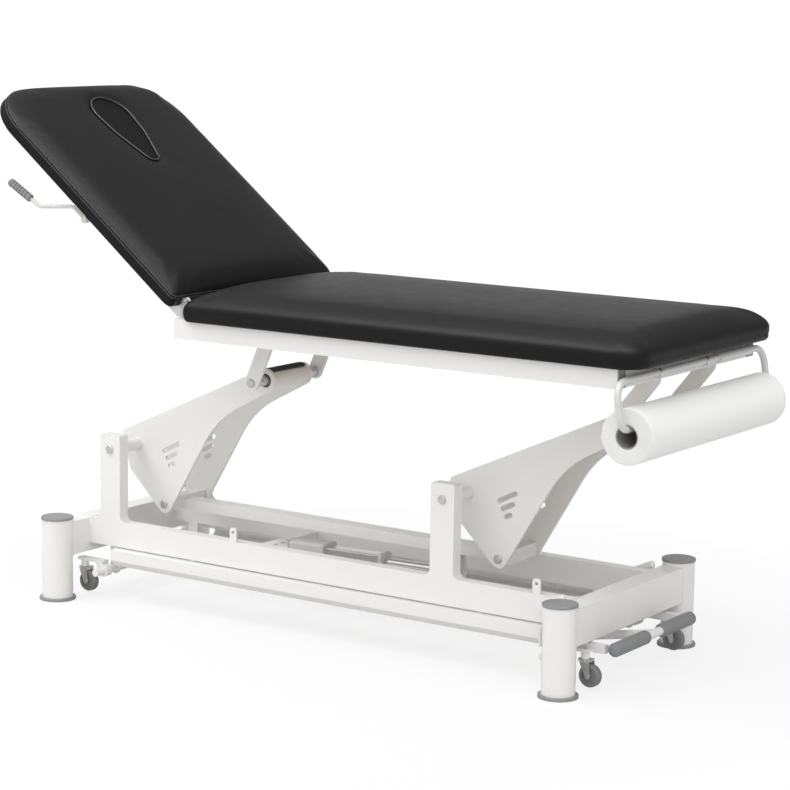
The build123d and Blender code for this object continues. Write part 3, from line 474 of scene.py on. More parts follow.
def screws(name, body, spots, size):
    """Zinc plated heads of one body, each spot a place and the way that its head points."""
    mesh = bpy.data.meshes.new(name)
    mesh.from_pydata([tuple(place) for place, _ in spots], [], [])
    aim = mesh.attributes.new("aim", "FLOAT_VECTOR", "POINT")
    for index, (_, way) in enumerate(spots):
        aim.data[index].vector = way
    obj = linked(name, mesh)
    washer, head, height = size
    run_recipe(
        obj, "bolt_heads", bolt_recipe,
        Washer=washer, Head=head, Height=height, Sides=6, Seed=5, Material=coat("Zinc Plated Steel"),
    )
    fit_on(obj, body, "zinc_steel")


# Sizes and colours that a user would change


class TableSettings(PropertyGroup):
    paint: FloatVectorProperty(
        name="Paint", description="Colour of the powder coated steel", subtype="COLOR",
        default=(0.84, 0.83, 0.815), min=0, max=1,
    )
    cover: FloatVectorProperty(
        name="Cover", description="Colour of the leatherette", subtype="COLOR",
        default=(0.0078, 0.0078, 0.0085), min=0, max=1,
    )
    plastic: FloatVectorProperty(
        name="Plastic", description="Colour of the caps and pads", subtype="COLOR",
        default=(0.26, 0.27, 0.27), min=0, max=1,
    )
    shoulder_run: FloatProperty(
        name="Shoulder Run", description="How far the rounded edge of a cushion reaches in",
        default=0.060, unit="LENGTH",
    )
    shoulder_drop: FloatProperty(
        name="Shoulder Drop", description="How far the rounded edge of a cushion falls",
        default=0.028, unit="LENGTH",
    )
    tuck: FloatProperty(
        name="Tuck", description="How far the side of the seat cushion draws in at its lower edge",
        default=0.013, unit="LENGTH",
    )
    crown: FloatProperty(
        name="Crown", description="Rise of a cushion's top over its shoulders", default=0.020, unit="LENGTH",
    )
    stitch_length: FloatProperty(
        name="Stitch Length", description="Length of one stitch of the double seam", default=0.0034,
        unit="LENGTH",
    )
    stitch_gap: FloatProperty(
        name="Stitch Gap", description="Gap between two stitches", default=0.0014, unit="LENGTH",
    )
    swell_frames: IntProperty(
        name="Swell Frames", description="Frames over which the covers swell", default=20, min=2,
    )


def settings():
    return bpy.context.scene.table_settings


# Finishes

# The rods' coat is the white powder coat darkened to a share of itself, which is painted shade, with less orange
# peel
ROD_PAINTED_SHADE, ROD_PEEL = 0.8, 0.015
# The face plug's cover is the leatherette darkened to a share of itself, which is painted shade, and the piping is
# the leatherette brightened to a multiple of itself, which is a painted highlight
PLUG_PAINTED_SHADE, PIPING_PAINTED_HIGHLIGHT = 0.6, 2.4


def roll_sizes():
    """The axis, the radius and half the length of the paper roll."""
    low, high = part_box("paper_roll")
    axis = ((low[0] + high[0]) / 2, 0, (low[2] + high[2]) / 2)
    return axis, (high[0] - low[0]) / 2, high[1]


class TABLE_OT_finishes(Operator):
    """Give every carried-over piece of the frame its finish"""

    bl_idname = "table.finishes"
    bl_label = "Finishes"

    def execute(self, context):
        s = settings()
        paint, cover = tuple(s.paint), tuple(s.cover)
        powder_coat("White Powder Coat", paint)
        powder_coat("White Rod Coat Painted Shade", shaded(paint, ROD_PAINTED_SHADE), ROD_PEEL)
        leatherette("Black Leatherette", cover)
        leatherette("Plug Leatherette Painted Shade", shaded(cover, PLUG_PAINTED_SHADE), 0.08)
        # The piping's leatherette is brightened to a multiple of itself, which is a painted highlight, beside its
        # stronger gloss
        leatherette("Piping Leatherette Painted Highlight", shaded(cover, PIPING_PAINTED_HIGHLIGHT), 0.6)
        plywood("Birch Plywood", (0.52, 0.38, 0.22))
        moulded("Grey Moulded Plastic", tuple(s.plastic), 0.46)
        moulded("Black Rubber", (0.03, 0.03, 0.03), 0.75, 500)
        moulded("Pale Grey Housing", (0.62, 0.62, 0.61), 0.5)
        moulded("Black Cylinder Paint", (0.02, 0.02, 0.022), 0.32)
        moulded("Grey Core Board", (0.34, 0.33, 0.31), 0.85, 300)
        moulded("Grey Wheel Tread", (0.2, 0.2, 0.2), 0.55, 600)
        moulded("Grey Thread", (0.2, 0.2, 0.205), 0.7, 1200)
        foam_rubber("Grey Foam", (0.235, 0.245, 0.25))
        metal("Zinc Plated Steel", (0.66, 0.66, 0.65), 0.34)
        metal("Bright Steel", (0.82, 0.82, 0.82), 0.14, scale=180, spread=0.06)
        metal("Extruded Aluminium", (0.72, 0.72, 0.73), 0.3, (0.05, 1, 1), 420)
        crepe_paper("White Crepe Paper", (0.93, 0.93, 0.92))
        layered_paper("Layered Paper", (0.82, 0.82, 0.81), roll_sizes()[0])
        finish_of_slot = {
            "white_paint": "White Powder Coat",
            "leatherette": "Black Leatherette",
            "plywood": "Birch Plywood",
            "cap_plastic": "Grey Moulded Plastic",
            "grip_foam": "Grey Foam",
            "buffer_rubber": "Black Rubber",
            "zinc_steel": "Zinc Plated Steel",
            "bright_steel": "Bright Steel",
            "motor_plastic": "Pale Grey Housing",
            "barrel_metal": "Extruded Aluminium",
            "dark_cylinder": "Black Cylinder Paint",
            "paper": "White Crepe Paper",
            "card": "Grey Core Board",
            "wheel_grey": "Grey Wheel Tread",
        }
        slots = {part["node"]: part["material_slot"] for part in frame["record"]["subparts"]}
        for name, node in frame["nodes"].items():
            # The release lever and the roll holder take the darker copy of the white coat, which is painted shade
            rod = name in ("release_lever", "roll_holder")
            finish = coat("White Rod Coat Painted Shade" if rod else finish_of_slot[slots[name]])
            if not node.material_slots:
                node.data.materials.append(finish)
            for slot in node.material_slots:
                slot.material = finish
        return {"FINISHED"}


# Cushions

ARC_STEPS, RUN_PITCH, PROFILE_STEPS, TOP_RINGS = 10, 0.035, 8, 9
CORNER_ROOM = 0.98
CORNER_TIGHTEN = 0.35
CORNER_LEAST = 0.010
UNDER_INSET = 0.006
MIDDLE_STRIP = 0.004
CROWN_BASE = 0.010
CROWN_EDGE = 0.025
VOXEL = 0.006
SWELL_CAP = 0.004
HELD_RIM = 0.006
SMOOTH_ABOVE = 0.016


def rounded_outline(start, end, half, radii, inset):
    """Points round a rectangle with its own corner radius at each end, drawn in by an inset."""
    low, high, side = start + inset, end - inset, half - inset
    room = min(side, (high - low) / 2) * CORNER_ROOM
    arcs, counts = [], []
    for cx, cy, radius, first in (
        (high, -side, radii[1], -90),
        (high, side, radii[1], 0),
        (low, side, radii[0], 90),
        (low, -side, radii[0], 180),
    ):
        r = max(min(radius - inset * CORNER_TIGHTEN, room), min(CORNER_LEAST, room))
        mx = cx - math.copysign(r, cx - (low + high) / 2)
        my = cy - math.copysign(r, cy)
        turns = [math.radians(first + 90 * step / ARC_STEPS) for step in range(ARC_STEPS + 1)]
        arcs.append([(mx + r * math.cos(turn), my + r * math.sin(turn)) for turn in turns])
        length = end - start if first in (0, 180) else half * 2
        counts.append(max(int(length / RUN_PITCH), 4))
    outline = []
    for corner, after, count in zip(arcs, arcs[1:] + arcs[:1], counts):
        (ax, ay), (bx, by) = corner[-1], after[0]
        shares = [step / count for step in range(1, count)]
        outline += corner + [(ax + (bx - ax) * share, ay + (by - ay) * share) for share in shares]
    return outline


def side_profile(bottom, top, run, drop, tuck):
    """Insets and heights up the bulging side of a pad and over its rounded shoulder."""
    rise = top - drop - bottom
    turns = [math.radians(90 * step / PROFILE_STEPS) for step in range(PROFILE_STEPS + 1)]
    side = [(tuck * (1 - math.sin(turn)), bottom + rise * (1 - math.cos(turn))) for turn in turns]
    shoulder = [(run * (1 - math.cos(turn)), top - drop + drop * math.sin(turn)) for turn in turns[1:]]
    return side + shoulder


def pad_mesh(name, span, half, bottom, top, radii, profile, crown):
    """A closed pad of rings: its side profile, its rounded shoulder and its pillowed top."""
    last = profile[-1][0]
    reach = half - MIDDLE_STRIP - last
    levels = [(profile[0][0] + UNDER_INSET, bottom), *profile]
    levels += [(last + reach * step / TOP_RINGS, top) for step in range(1, TOP_RINGS + 1)]
    start = next(height for _, height in profile if height > bottom + CROWN_BASE)
    rings = []
    for inset, height in levels:
        raised = crown * share_of(height - start, top - start)
        ring = []
        for x, y in rounded_outline(*span, half, radii, inset):
            across = 1 - min(abs(y) / half, 1.0) ** 3
            along = 1 - math.exp(-max(min(x - span[0], span[1] - x), 0.0) / CROWN_EDGE)
            ring.append((x, y, height + raised * across * along))
        rings.append(ring)
    obj = lofted(name, rings, [coat("Black Leatherette")])
    with editing(obj) as work:
        bmesh.ops.triangulate(work, faces=[face for face in work.faces if len(face.verts) > 4])
    return obj


def swell(obj, bottom):
    """Swells a pad's cover with a short cloth simulation, each point moving by no more than the cap."""
    remesh = obj.modifiers.new("Remesh", "REMESH")
    remesh.mode, remesh.voxel_size = "VOXEL", VOXEL
    baked(obj)
    group = obj.vertex_groups.new(name="held")
    group.add([v.index for v in obj.data.vertices if v.co.z < bottom + HELD_RIM], 1.0, "REPLACE")
    start = [vertex.co.copy() for vertex in obj.data.vertices]
    cloth = obj.modifiers.new("Cloth", "CLOTH")
    cloth.settings.quality = 4
    cloth.settings.mass = 0.3
    cloth.settings.tension_stiffness = 40
    cloth.settings.compression_stiffness = 40
    cloth.settings.bending_stiffness = 8
    cloth.settings.use_pressure = True
    cloth.settings.uniform_pressure_force = 4
    cloth.settings.effector_weights.gravity = 0
    cloth.settings.vertex_group_mass = group.name
    scene, frames = bpy.context.scene, settings().swell_frames
    cloth.point_cache.frame_start, cloth.point_cache.frame_end = 1, frames
    for number in range(1, frames + 1):
        scene.frame_set(number)
    baked(obj)
    for vertex, first in zip(obj.data.vertices, start):
        move = vertex.co - first
        if move.length > SWELL_CAP:
            vertex.co = first + move.normalized() * SWELL_CAP
    scene.frame_set(1)
    obj.vertex_groups.clear()
    obj.data.polygons.foreach_set("use_smooth", [True] * len(obj.data.polygons))


def smooth(obj, bottom, rounds):
    """Evens out a pad's cover, all but its lower edge."""
    with editing(obj) as work:
        chosen = [v for v in work.verts if v.co.z > bottom + SMOOTH_ABOVE]
        for _ in range(rounds):
            bmesh.ops.smooth_vert(
                work, verts=chosen, factor=0.5, use_axis_x=True, use_axis_y=True, use_axis_z=True
            )


# The seat's corner radii at the head and the foot, and the skirt that hangs outside the rails
SEAT_RADII = (0.022, 0.058)
SEAT_LIFT = 0.0004
SEAT_SWELL = 0.003
SEAT_REACH = 0.005
SEAT_ROUNDS = 6
SKIRT_GAP = 0.001
SKIRT_HEIGHT = 0.012
SKIRT_DROP = 0.0042
SKIRT_EASE = 0.006


class TABLE_OT_seat(Operator):
    """Make the seat cushion with its crown and rounded shoulders"""

    bl_idname = "table.seat"
    bl_label = "Seat Cushion"

    def execute(self, context):
        s = settings()
        low, high = SEAT
        bottom = low[2] + SEAT_LIFT
        top = high[2] - s.crown - SEAT_SWELL
        half = (high[1] - low[1]) / 2
        profile = side_profile(bottom, top, s.shoulder_run, s.shoulder_drop, s.tuck)
        span = (low[0], high[0] + SEAT_REACH)
        obj = pad_mesh("seat_cover", span, half, bottom, top, SEAT_RADII, profile, s.crown)
        swell(obj, bottom)
        smooth(obj, bottom, SEAT_ROUNDS)
        rail_end, rail_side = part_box("bed_rails")[1][:2]
        for vertex in obj.data.vertices:
            x, y, z = vertex.co
            clear = max(abs(y) - rail_side, x - rail_end)
            if clear > SKIRT_GAP and z < bottom + SKIRT_HEIGHT:
                vertex.co.z -= SKIRT_DROP * share_of(clear, SKIRT_EASE) * (1 - (z - bottom) / SKIRT_HEIGHT)
        outward(obj)
        fit_on(obj, "bed", "leatherette", "seat_cushion")
        return {"FINISHED"}


# The backrest in its own plane: its span, its corner radii at the head and the hinge, its heights
BACK_SPAN = (-0.730, -0.004)
BACK_HALF = (SEAT[1][1] - SEAT[0][1]) / 2 - 0.007
BACK_RADII = (0.138, 0.024)
BACK_BOTTOM, BACK_TOP = -0.0236, 0.0400
BACK_CROWN = 0.003
BACK_ROUNDS = 8
BACK_RUN, BACK_DROP, BACK_TUCK = 0.8, 0.65, 0.3

# The circles along the middle line that the face opening hangs between, each a place and a radius
OPENING_CIRCLES = ((-0.587, 0.059), (-0.532, 0.052), (-0.444, 0.023))
OPENING_GAP = 0.0008
CUT_DEPTH = 0.05

# Depth and width of the sharp groove and of the wide hollow round the opening
HOLLOWS = ((0.0065, 0.014), (0.0035, 0.04))

# Where the cushion stays clear of the hinge plates
HINGE_PLATE_Y, HINGE_PLATE_END = 0.271, -0.0115
HINGE_PLATE_ROOM, HINGE_PLATE_EASE = 0.026, 0.010


def teardrop(grow, steps=20):
    """The face opening's outline in the backrest's own plane, broad at the head and full at its sides."""
    pairs = zip(OPENING_CIRCLES, OPENING_CIRCLES[1:])
    leans = [math.asin((a[1] - b[1]) / (b[0] - a[0])) for a, b in pairs]
    turns = (math.pi, math.pi / 2 - leans[0], math.pi / 2 - leans[1], 0.0)
    side = []
    for (x, r), first, last in zip(OPENING_CIRCLES, turns, turns[1:]):
        for step in range(steps + 1):
            turn = first + (last - first) * step / steps
            side.append((x + (r + grow) * math.cos(turn), (r + grow) * math.sin(turn)))
    return side[::-1] + [(x, -y) for x, y in side[1:-1]]


def teardrop_distance(x, y, steps=8):
    """How far a point lies outside the face opening, negative inside."""
    gaps = []
    for (ax, ar), (bx, br) in zip(OPENING_CIRCLES, OPENING_CIRCLES[1:]):
        for step in range(steps + 1):
            share = step / steps
            gaps.append(math.hypot(x - ax - (bx - ax) * share, y) - ar - (br - ar) * share)
    return min(gaps)


class TABLE_OT_backrest(Operator):
    """Make the backrest cushion with its face opening"""

    bl_idname = "table.backrest"
    bl_label = "Backrest Cushion"

    def execute(self, context):
        s = settings()
        crown = s.crown + BACK_CROWN
        bottom, top = BACK_BOTTOM, BACK_TOP - crown
        run, drop, tuck = s.shoulder_run * BACK_RUN, s.shoulder_drop * BACK_DROP, s.tuck * BACK_TUCK
        profile = side_profile(bottom, top, run, drop, tuck)
        obj = pad_mesh("backrest_cover", BACK_SPAN, BACK_HALF, bottom, top, BACK_RADII, profile, crown)
        swell(obj, bottom)
        smooth(obj, bottom, BACK_ROUNDS)
        for vertex in obj.data.vertices:
            x, y, z = vertex.co
            if z > 0:
                away = max(teardrop_distance(x, y), 0.0)
                vertex.co.z -= sum(depth * math.exp(-((away / width) ** 2)) for depth, width in HOLLOWS)
            if x > HINGE_PLATE_END:
                room = share_of(HINGE_PLATE_ROOM - abs(abs(y) - HINGE_PLATE_Y), HINGE_PLATE_EASE)
                vertex.co.x += (HINGE_PLATE_END - x) * room
        outward(obj)
        outline = teardrop(OPENING_GAP)
        rings = [[(x, y, height) for x, y in outline] for height in (-CUT_DEPTH, CUT_DEPTH)]
        cutter = lofted("opening_cutter", rings, [])
        outward(cutter)
        cut = obj.modifiers.new("Opening", "BOOLEAN")
        cut.operation, cut.solver, cut.object = "DIFFERENCE", "EXACT", cutter
        baked(obj)
        bpy.data.objects.remove(cutter)
        transformed(obj, BACK_PLACE)
        fit_on(obj, "backrest", "leatherette", "backrest_cushion")
        return {"FINISHED"}


# How far each ring of the plug stands out from the opening's outline, and its height
PLUG_RINGS = (
    (-0.002, -0.0236), (0.0, -0.022), (0.0, 0.0335), (-0.0015, 0.0352),
    (-0.004, 0.0358), (-0.012, 0.0356), (-0.021, 0.0354),
)
PIPING_HEIGHT, PIPING_RADIUS, PIPING_STEPS = 0.0368, 0.0026, 40


def cord_round(name, path, radius, finish, sides=10):
    """A round cord along a closed path, as a closed mesh."""
    rings = []
    for index, centre in enumerate(path):
        ahead = (path[(index + 1) % len(path)] - path[index - 1]).normalized()
        side = ahead.cross(Vector((0, 0, 1))).normalized()
        side, up = side * radius, side.cross(ahead) * radius
        turns = [2 * math.pi * step / sides for step in range(sides)]
        rings.append([centre + side * math.cos(turn) + up * math.sin(turn) for turn in turns])
    obj = lofted(name, rings, [coat(finish)], closed=True)
    outward(obj)
    return obj


class TABLE_OT_plug(Operator):
    """Make the plug of the face opening with its piped edge"""

    bl_idname = "table.plug"
    bl_label = "Face Opening Plug"

    def execute(self, context):
        rings = [[(x, y, height) for x, y in teardrop(grow)] for grow, height in PLUG_RINGS]
        # The plug's cover takes the darker copy of the leatherette, which is painted shade
        plug = lofted("face_plug_cover", rings, [coat("Plug Leatherette Painted Shade")])
        transformed(plug, BACK_PLACE)
        outward(plug)
        fit_on(plug, "face_plug", "leatherette", "face_plug")
        edge = [Vector((x, y, PIPING_HEIGHT)) for x, y in teardrop(OPENING_GAP, PIPING_STEPS)]
        # The piping takes the brighter copy of the leatherette, which is a painted highlight
        piping = cord_round("face_plug_piping", edge, PIPING_RADIUS, "Piping Leatherette Painted Highlight")
        transformed(piping, BACK_PLACE)
        fit_on(piping, "face_plug", "leatherette")
        return {"FINISHED"}


# Inset and height of the upper stitches, of the seam's line and of the lower stitches
SEAM_ROWS = ((0.0045, 0.0105), (0.003, 0.0070), (0.002, 0.0035))
SEAM_PITCH, SEAM_STAND, SEAM_RADIUS, STITCH_WIDTH = 0.006, 0.0002, 0.0008, 0.0012


def resampled(path, pitch):
    """A closed path again, in even steps."""
    ring = [*path, path[0]]
    lengths = [0.0]
    for a, b in zip(ring, ring[1:]):
        lengths.append(lengths[-1] + (b - a).length)
    count = int(lengths[-1] / pitch)
    points, index = [], 0
    for step in range(count):
        goal = lengths[-1] * step / count
        while lengths[index + 1] < goal:
            index += 1
        share = (goal - lengths[index]) / (lengths[index + 1] - lengths[index])
        points.append(ring[index].lerp(ring[index + 1], share))
    return points


def on_surface(obj, path, stand):
    """Moves a path to the nearest places of a surface, standing a little off it."""
    mesh = obj.data
    tree = BVHTree.FromPolygons([v.co for v in mesh.vertices], [p.vertices for p in mesh.polygons])
    moved = []
    for point in path:
        place, normal, _, _ = tree.find_nearest(point)
        moved.append(place + normal * stand)
    return moved


class TABLE_OT_seams(Operator):
    """Sew the double seam round the backrest cushion"""

    bl_idname = "table.seams"
    bl_label = "Backrest Seams"

    def execute(self, context):
        s = settings()
        cover = bpy.data.objects["backrest_cover"]
        rows = []
        for inset, height in SEAM_ROWS:
            outline = rounded_outline(*BACK_SPAN, BACK_HALF, BACK_RADII, inset)
            flat = resampled([Vector((x, y, height)) for x, y in outline], SEAM_PITCH)
            rows.append(on_surface(cover, [BACK_PLACE @ point for point in flat], SEAM_STAND))
        grains(
            "backrest_stitches", "backrest", "leatherette", "Grey Thread", [(rows[0], True), (rows[2], True)],
            (s.stitch_length, s.stitch_gap, STITCH_WIDTH),
        )
        line = cord_round("backrest_seam_line", rows[1], SEAM_RADIUS, "Black Leatherette", sides=6)
        fit_on(line, "backrest", "leatherette")
        return {"FINISHED"}


# Hardware

# Screws up through the rails, and through the backrest's tubes at places measured from the hinge, all in
# millimetres, with each kind's washer, head and height in metres
SEAT_SCREWS_X, SEAT_SCREWS_Y, SEAT_SCREWS_Z = (-240, 60, 230, 450, 640, 790), 285, 662
SEAT_SCREW = (0.0065, 0.0045, 0.0014)
BACK_SCREWS_X, BACK_SCREWS_Y, BACK_SCREWS_Z = (90, 200, 330, 450, 585), 252, -44.2
BACK_SCREW = (0.0075, 0.005, 0.0034)


class TABLE_OT_fasteners(Operator):
    """Set the screws that hold the boards to the frames"""

    bl_idname = "table.fasteners"
    bl_label = "Fasteners"

    def execute(self, context):
        down = Vector((0, 0, -1))
        sides = (-SEAT_SCREWS_Y, SEAT_SCREWS_Y)
        spots = [(at(x, y, SEAT_SCREWS_Z), down) for x in SEAT_SCREWS_X for y in sides]
        screws("seat_board_screws", "bed", spots, SEAT_SCREW)
        sides, away = (-BACK_SCREWS_Y, BACK_SCREWS_Y), BACK_PLACE.to_3x3() @ down
        places = [Vector((-x, y, BACK_SCREWS_Z)) * MM for x in BACK_SCREWS_X for y in sides]
        spots = [(BACK_PLACE @ place, away) for place in places]
        screws("back_board_screws", "backrest", spots, BACK_SCREW)
        return {"FINISHED"}


# Length, gap and width of a weld's ripples, which overlap
WELD_GRAIN = (0.0052, -0.0016, 0.0042)
BEAM_TOP, BEAM_HALF, BEAD_LOW = 184, 25, 104

# Where a side beam ends on its cross beam: the face's place, and the bead's way up and over
BEAM_FACE = 662.3
BEAD_WAY = ((175.8, 127), (175.8, 184), (175.5, 185.2), (145.5, 185.2), (145.2, 184), (145.2, 127))

# A crank's ring welds: how far from its post, out and up they are, their radius and number of points
CRANK_WELDS = ((380, 64.8, 547, 23.4, 20), (0, 73.2, 357, 14.4, 12))


def arc(centre, radius, first, last, steps, plane):
    """Points of an arc in millimetres, in the plane of the two named axes."""
    points = []
    for step in range(steps + 1):
        turn = math.radians(first + (last - first) * step / steps)
        place = list(centre)
        place[plane[0]] += radius * math.cos(turn)
        place[plane[1]] += radius * math.sin(turn)
        points.append(at(*place))
    return points


class TABLE_OT_welds(Operator):
    """Lay the painted weld beads"""

    bl_idname = "table.welds"
    bl_label = "Welds"

    def execute(self, context):
        paths = []
        edge = math.degrees(math.asin(BEAM_HALF / LEG_RADIUS))
        for sx in (-1, 1):
            for sy in (-1, 1):
                middle, inward = (sx * LEG_X, sy * LEG_Y, BEAM_TOP), -90 * sy
                top = arc(middle, LEG_RADIUS + 0.4, inward - edge, inward + edge, 10, (0, 1))
                low = [Vector((end.x, end.y, BEAD_LOW * MM)) for end in (top[0], top[-1])]
                paths.append(([low[0], *top, low[1]], False))
                paths.append(([at(sx * BEAM_FACE, sy * y, z) for y, z in BEAD_WAY], False))
        grains("base_welds", "base", "white_paint", "White Powder Coat", paths, WELD_GRAIN)
        for body, post in (("head_crank", HEAD_POST), ("foot_crank", FOOT_POST)):
            paths = []
            for side in (-1, 1):
                for away, out, up, radius, count in CRANK_WELDS:
                    centre, last = (post + away, side * out, up), 360 - 360 / count
                    paths.append((arc(centre, radius, 0, last, count - 1, (0, 2)), True))
            grains(body + "_welds", body, "white_paint", "White Powder Coat", paths, WELD_GRAIN)
        return {"FINISHED"}


# The plugs in the open tube ends: the rail's place as at() takes it, the tube's in the backrest's plane
RAIL_PLUG_PLACE, RAIL_PLUG_SIZE = (829, 285, 684), (0.0036, 0.0292, 0.0432)
TUBE_PLUG_PLACE, TUBE_PLUG_SIZE = (-0.601, 0.252, -0.034), (0.0036, 0.0192, 0.0192)
PLUG_ROUNDING = 0.0012


def plastic_block(name, centre, size, matrix=None):
    """A plastic block with rounded edges, lengths in metres."""
    mesh = bpy.data.meshes.new(name)
    mesh.materials.append(coat("Grey Moulded Plastic"))
    obj = linked(name, mesh)
    with editing(obj) as work:
        bmesh.ops.create_cube(work, size=1.0)
        bmesh.ops.scale(work, vec=size, verts=work.verts)
        bmesh.ops.bevel(
            work, geom=list(work.edges), offset=PLUG_ROUNDING, segments=3, profile=0.5, affect="EDGES",
            clamp_overlap=True,
        )
        bmesh.ops.translate(work, vec=centre, verts=work.verts)
    mesh.polygons.foreach_set("use_smooth", [True] * len(mesh.polygons))
    if matrix:
        transformed(obj, matrix)
    return obj


class TABLE_OT_end_plugs(Operator):
    """Close the open tube ends with plastic plugs"""

    bl_idname = "table.end_plugs"
    bl_label = "End Plugs"

    def execute(self, context):
        for side, label in ((-1, "front"), (1, "rear")):
            x, y, z = RAIL_PLUG_PLACE
            rail = plastic_block("rail_plug_" + label, at(x, side * y, z), RAIL_PLUG_SIZE)
            fit_on(rail, "bed", "cap_plastic")
            x, y, z = TUBE_PLUG_PLACE
            place = Vector((x, side * y, z))
            tube = plastic_block("back_tube_plug_" + label, place, TUBE_PLUG_SIZE, BACK_PLACE)
            fit_on(tube, "backrest", "cap_plastic")
        return {"FINISHED"}


# Paper roll

ROLL_BORE, ROLL_SIDES = 0.02515, 128
RIM_STEPS, LENGTH_STEPS = 6, 24

# The loose end: where it starts in degrees, how far it wraps on, its thickness and its lift at the end
LOOSE_FIRST, LOOSE_SPAN, LOOSE_STEPS, LOOSE_ROWS = -150.0, 26.0, 24, 12
LOOSE_THICK, LOOSE_LIFT, LOOSE_MARGIN = 0.0005, 0.0022, 0.002
LOOSE_CLEAR, LOOSE_SWELL = 0.0003, 1.0032


def wound_roll():
    """The roll's body, with softly rounded rims and a slight unevenness from the winding."""
    axis, outer, half = roll_sizes()
    rim = [(ROLL_BORE, -half + 0.0004), (ROLL_BORE + 0.0006, -half)]
    rim += [(ROLL_BORE + (outer - ROLL_BORE) * k / RIM_STEPS, -half) for k in range(1, RIM_STEPS)]
    rim += [(outer - 0.0012, -half), (outer - 0.0003, -half + 0.0004), (outer, -half + 0.0014)]
    profile = rim + [(outer, -half + 2 * half * k / LENGTH_STEPS) for k in range(1, LENGTH_STEPS)]
    profile += [(r, -y) for r, y in reversed(rim)]
    rings = []
    for step in range(ROLL_SIDES):
        turn, ring = 2 * math.pi * step / ROLL_SIDES, []
        for r, y in profile:
            uneven = 0.0016 * math.sin(turn * 3 + 1) + 0.0012 * math.sin(y * 19)
            r *= 1 + uneven * (r > ROLL_BORE * 1.2)
            ring.append(Vector(axis) + Vector((r * math.cos(turn), y, r * math.sin(turn))))
        rings.append(ring)
    roll = lofted("paper_roll_wound", rings, [coat("White Crepe Paper"), coat("Layered Paper")], closed=True)
    outward(roll)
    for face in roll.data.polygons:
        face.material_index = 1 if abs(face.normal.y) > 0.8 else 0
    return roll


def loose_end():
    """The last turn of the sheet, which lifts a little off the roll."""
    axis, outer, half = roll_sizes()
    width = 2 * (half - LOOSE_MARGIN)
    rows = [-half + LOOSE_MARGIN + width * row / LOOSE_ROWS for row in range(LOOSE_ROWS + 1)]
    rings = []
    for step in range(LOOSE_STEPS + 1):
        share = step / LOOSE_STEPS
        turn = math.radians(LOOSE_FIRST - LOOSE_SPAN * share)
        reach = outer * LOOSE_SWELL + LOOSE_CLEAR + LOOSE_LIFT * share**3
        edge = [(reach, y) for y in rows] + [(reach + LOOSE_THICK, y) for y in reversed(rows)]
        rings.append([Vector(axis) + Vector((r * math.cos(turn), y, r * math.sin(turn))) for r, y in edge])
    sheet = lofted("paper_roll_loose_end", rings, [coat("White Crepe Paper")])
    outward(sheet)
    return sheet


class TABLE_OT_roll(Operator):
    """Wind the paper roll, with its layered ends and its loose sheet"""

    bl_idname = "table.roll"
    bl_label = "Paper Roll"

    def execute(self, context):
        fit_on(wound_roll(), "roll", "paper", "paper_roll")
        fit_on(loose_end(), "roll", "paper")
        return {"FINISHED"}


# Stage

# The floor keeps part of the shadow near the table and is plain white to the camera further out
FLOOR_HALF, FLOOR_COLOUR = 60.0, (0.68, 0.68, 0.68)
SEEN_WHITE, SHADOW_NEAR, SHADOW_FADE, NEAR_SHARE = 1.05, 1.2, 0.5, 0.76

# Where the studio is brighter: a direction, how narrow and how strong it is
AMBIENT = 0.28
GLOWS = (((0.40, -0.86, 0.30), 1, 0.84), ((0.0, -0.1, 1.0), 2, 0.9), ((1.0, 0.2, 0.1), 3, 0.20))

# Each lamp's name, place, target, size and power, and whether it only shows in gloss
LAMPS = (
    ("key", (-2.0, -1.1, 3.3), (0, 0, 0.5), (1.6, 1.6), 50, False),
    ("overhead_strip", (0.1, -0.9, 3.3), (0.1, 0.0, 0.8), (4.4, 0.9), 110, True),
    ("backdrop", (-3.6, 4.6, 1.3), (0, 0, 0.8), (4.0, 1.6), 15, True),
)

# The camera as fitted to the photograph, its eye in metres from the front leg at the head
PHOTO_WIDTH, FOCAL_PIXELS, SENSOR = 790.0, 2483.03, 36.0
EYE_X, EYE_Y, EYE_Z = 3.8727, -4.3023, 1.44295
YAW, PITCH, ROLL = 0.5955, 0.1630, 0.0145


def make_floor():
    s = FLOOR_HALF
    floor = mesh_object("floor", [(-s, -s, 0), (s, -s, 0), (s, s, 0), (-s, s, 0)], [(0, 1, 2, 3)], [])
    finish = Finish("Floor", FLOOR_COLOUR, 0.9, specular=0.1)
    glow = finish.add("ShaderNodeEmission", {}, {"Color": (1, 1, 1, 1), "Strength": SEEN_WHITE})
    reach = finish.vectors("LENGTH", finish.place, output="Value")
    share = (NEAR_SHARE + (reach - SHADOW_NEAR) * SHADOW_FADE).clamped(NEAR_SHARE, 1.0)
    surface = Value(finish, finish.surface.outputs[0])
    mix = finish.add("ShaderNodeMixShader", {}, (finish.camera_ray() * share, surface, glow))
    finish.show(finish.tree.nodes["Material Output"], mix)
    floor.data.materials.append(finish.material)


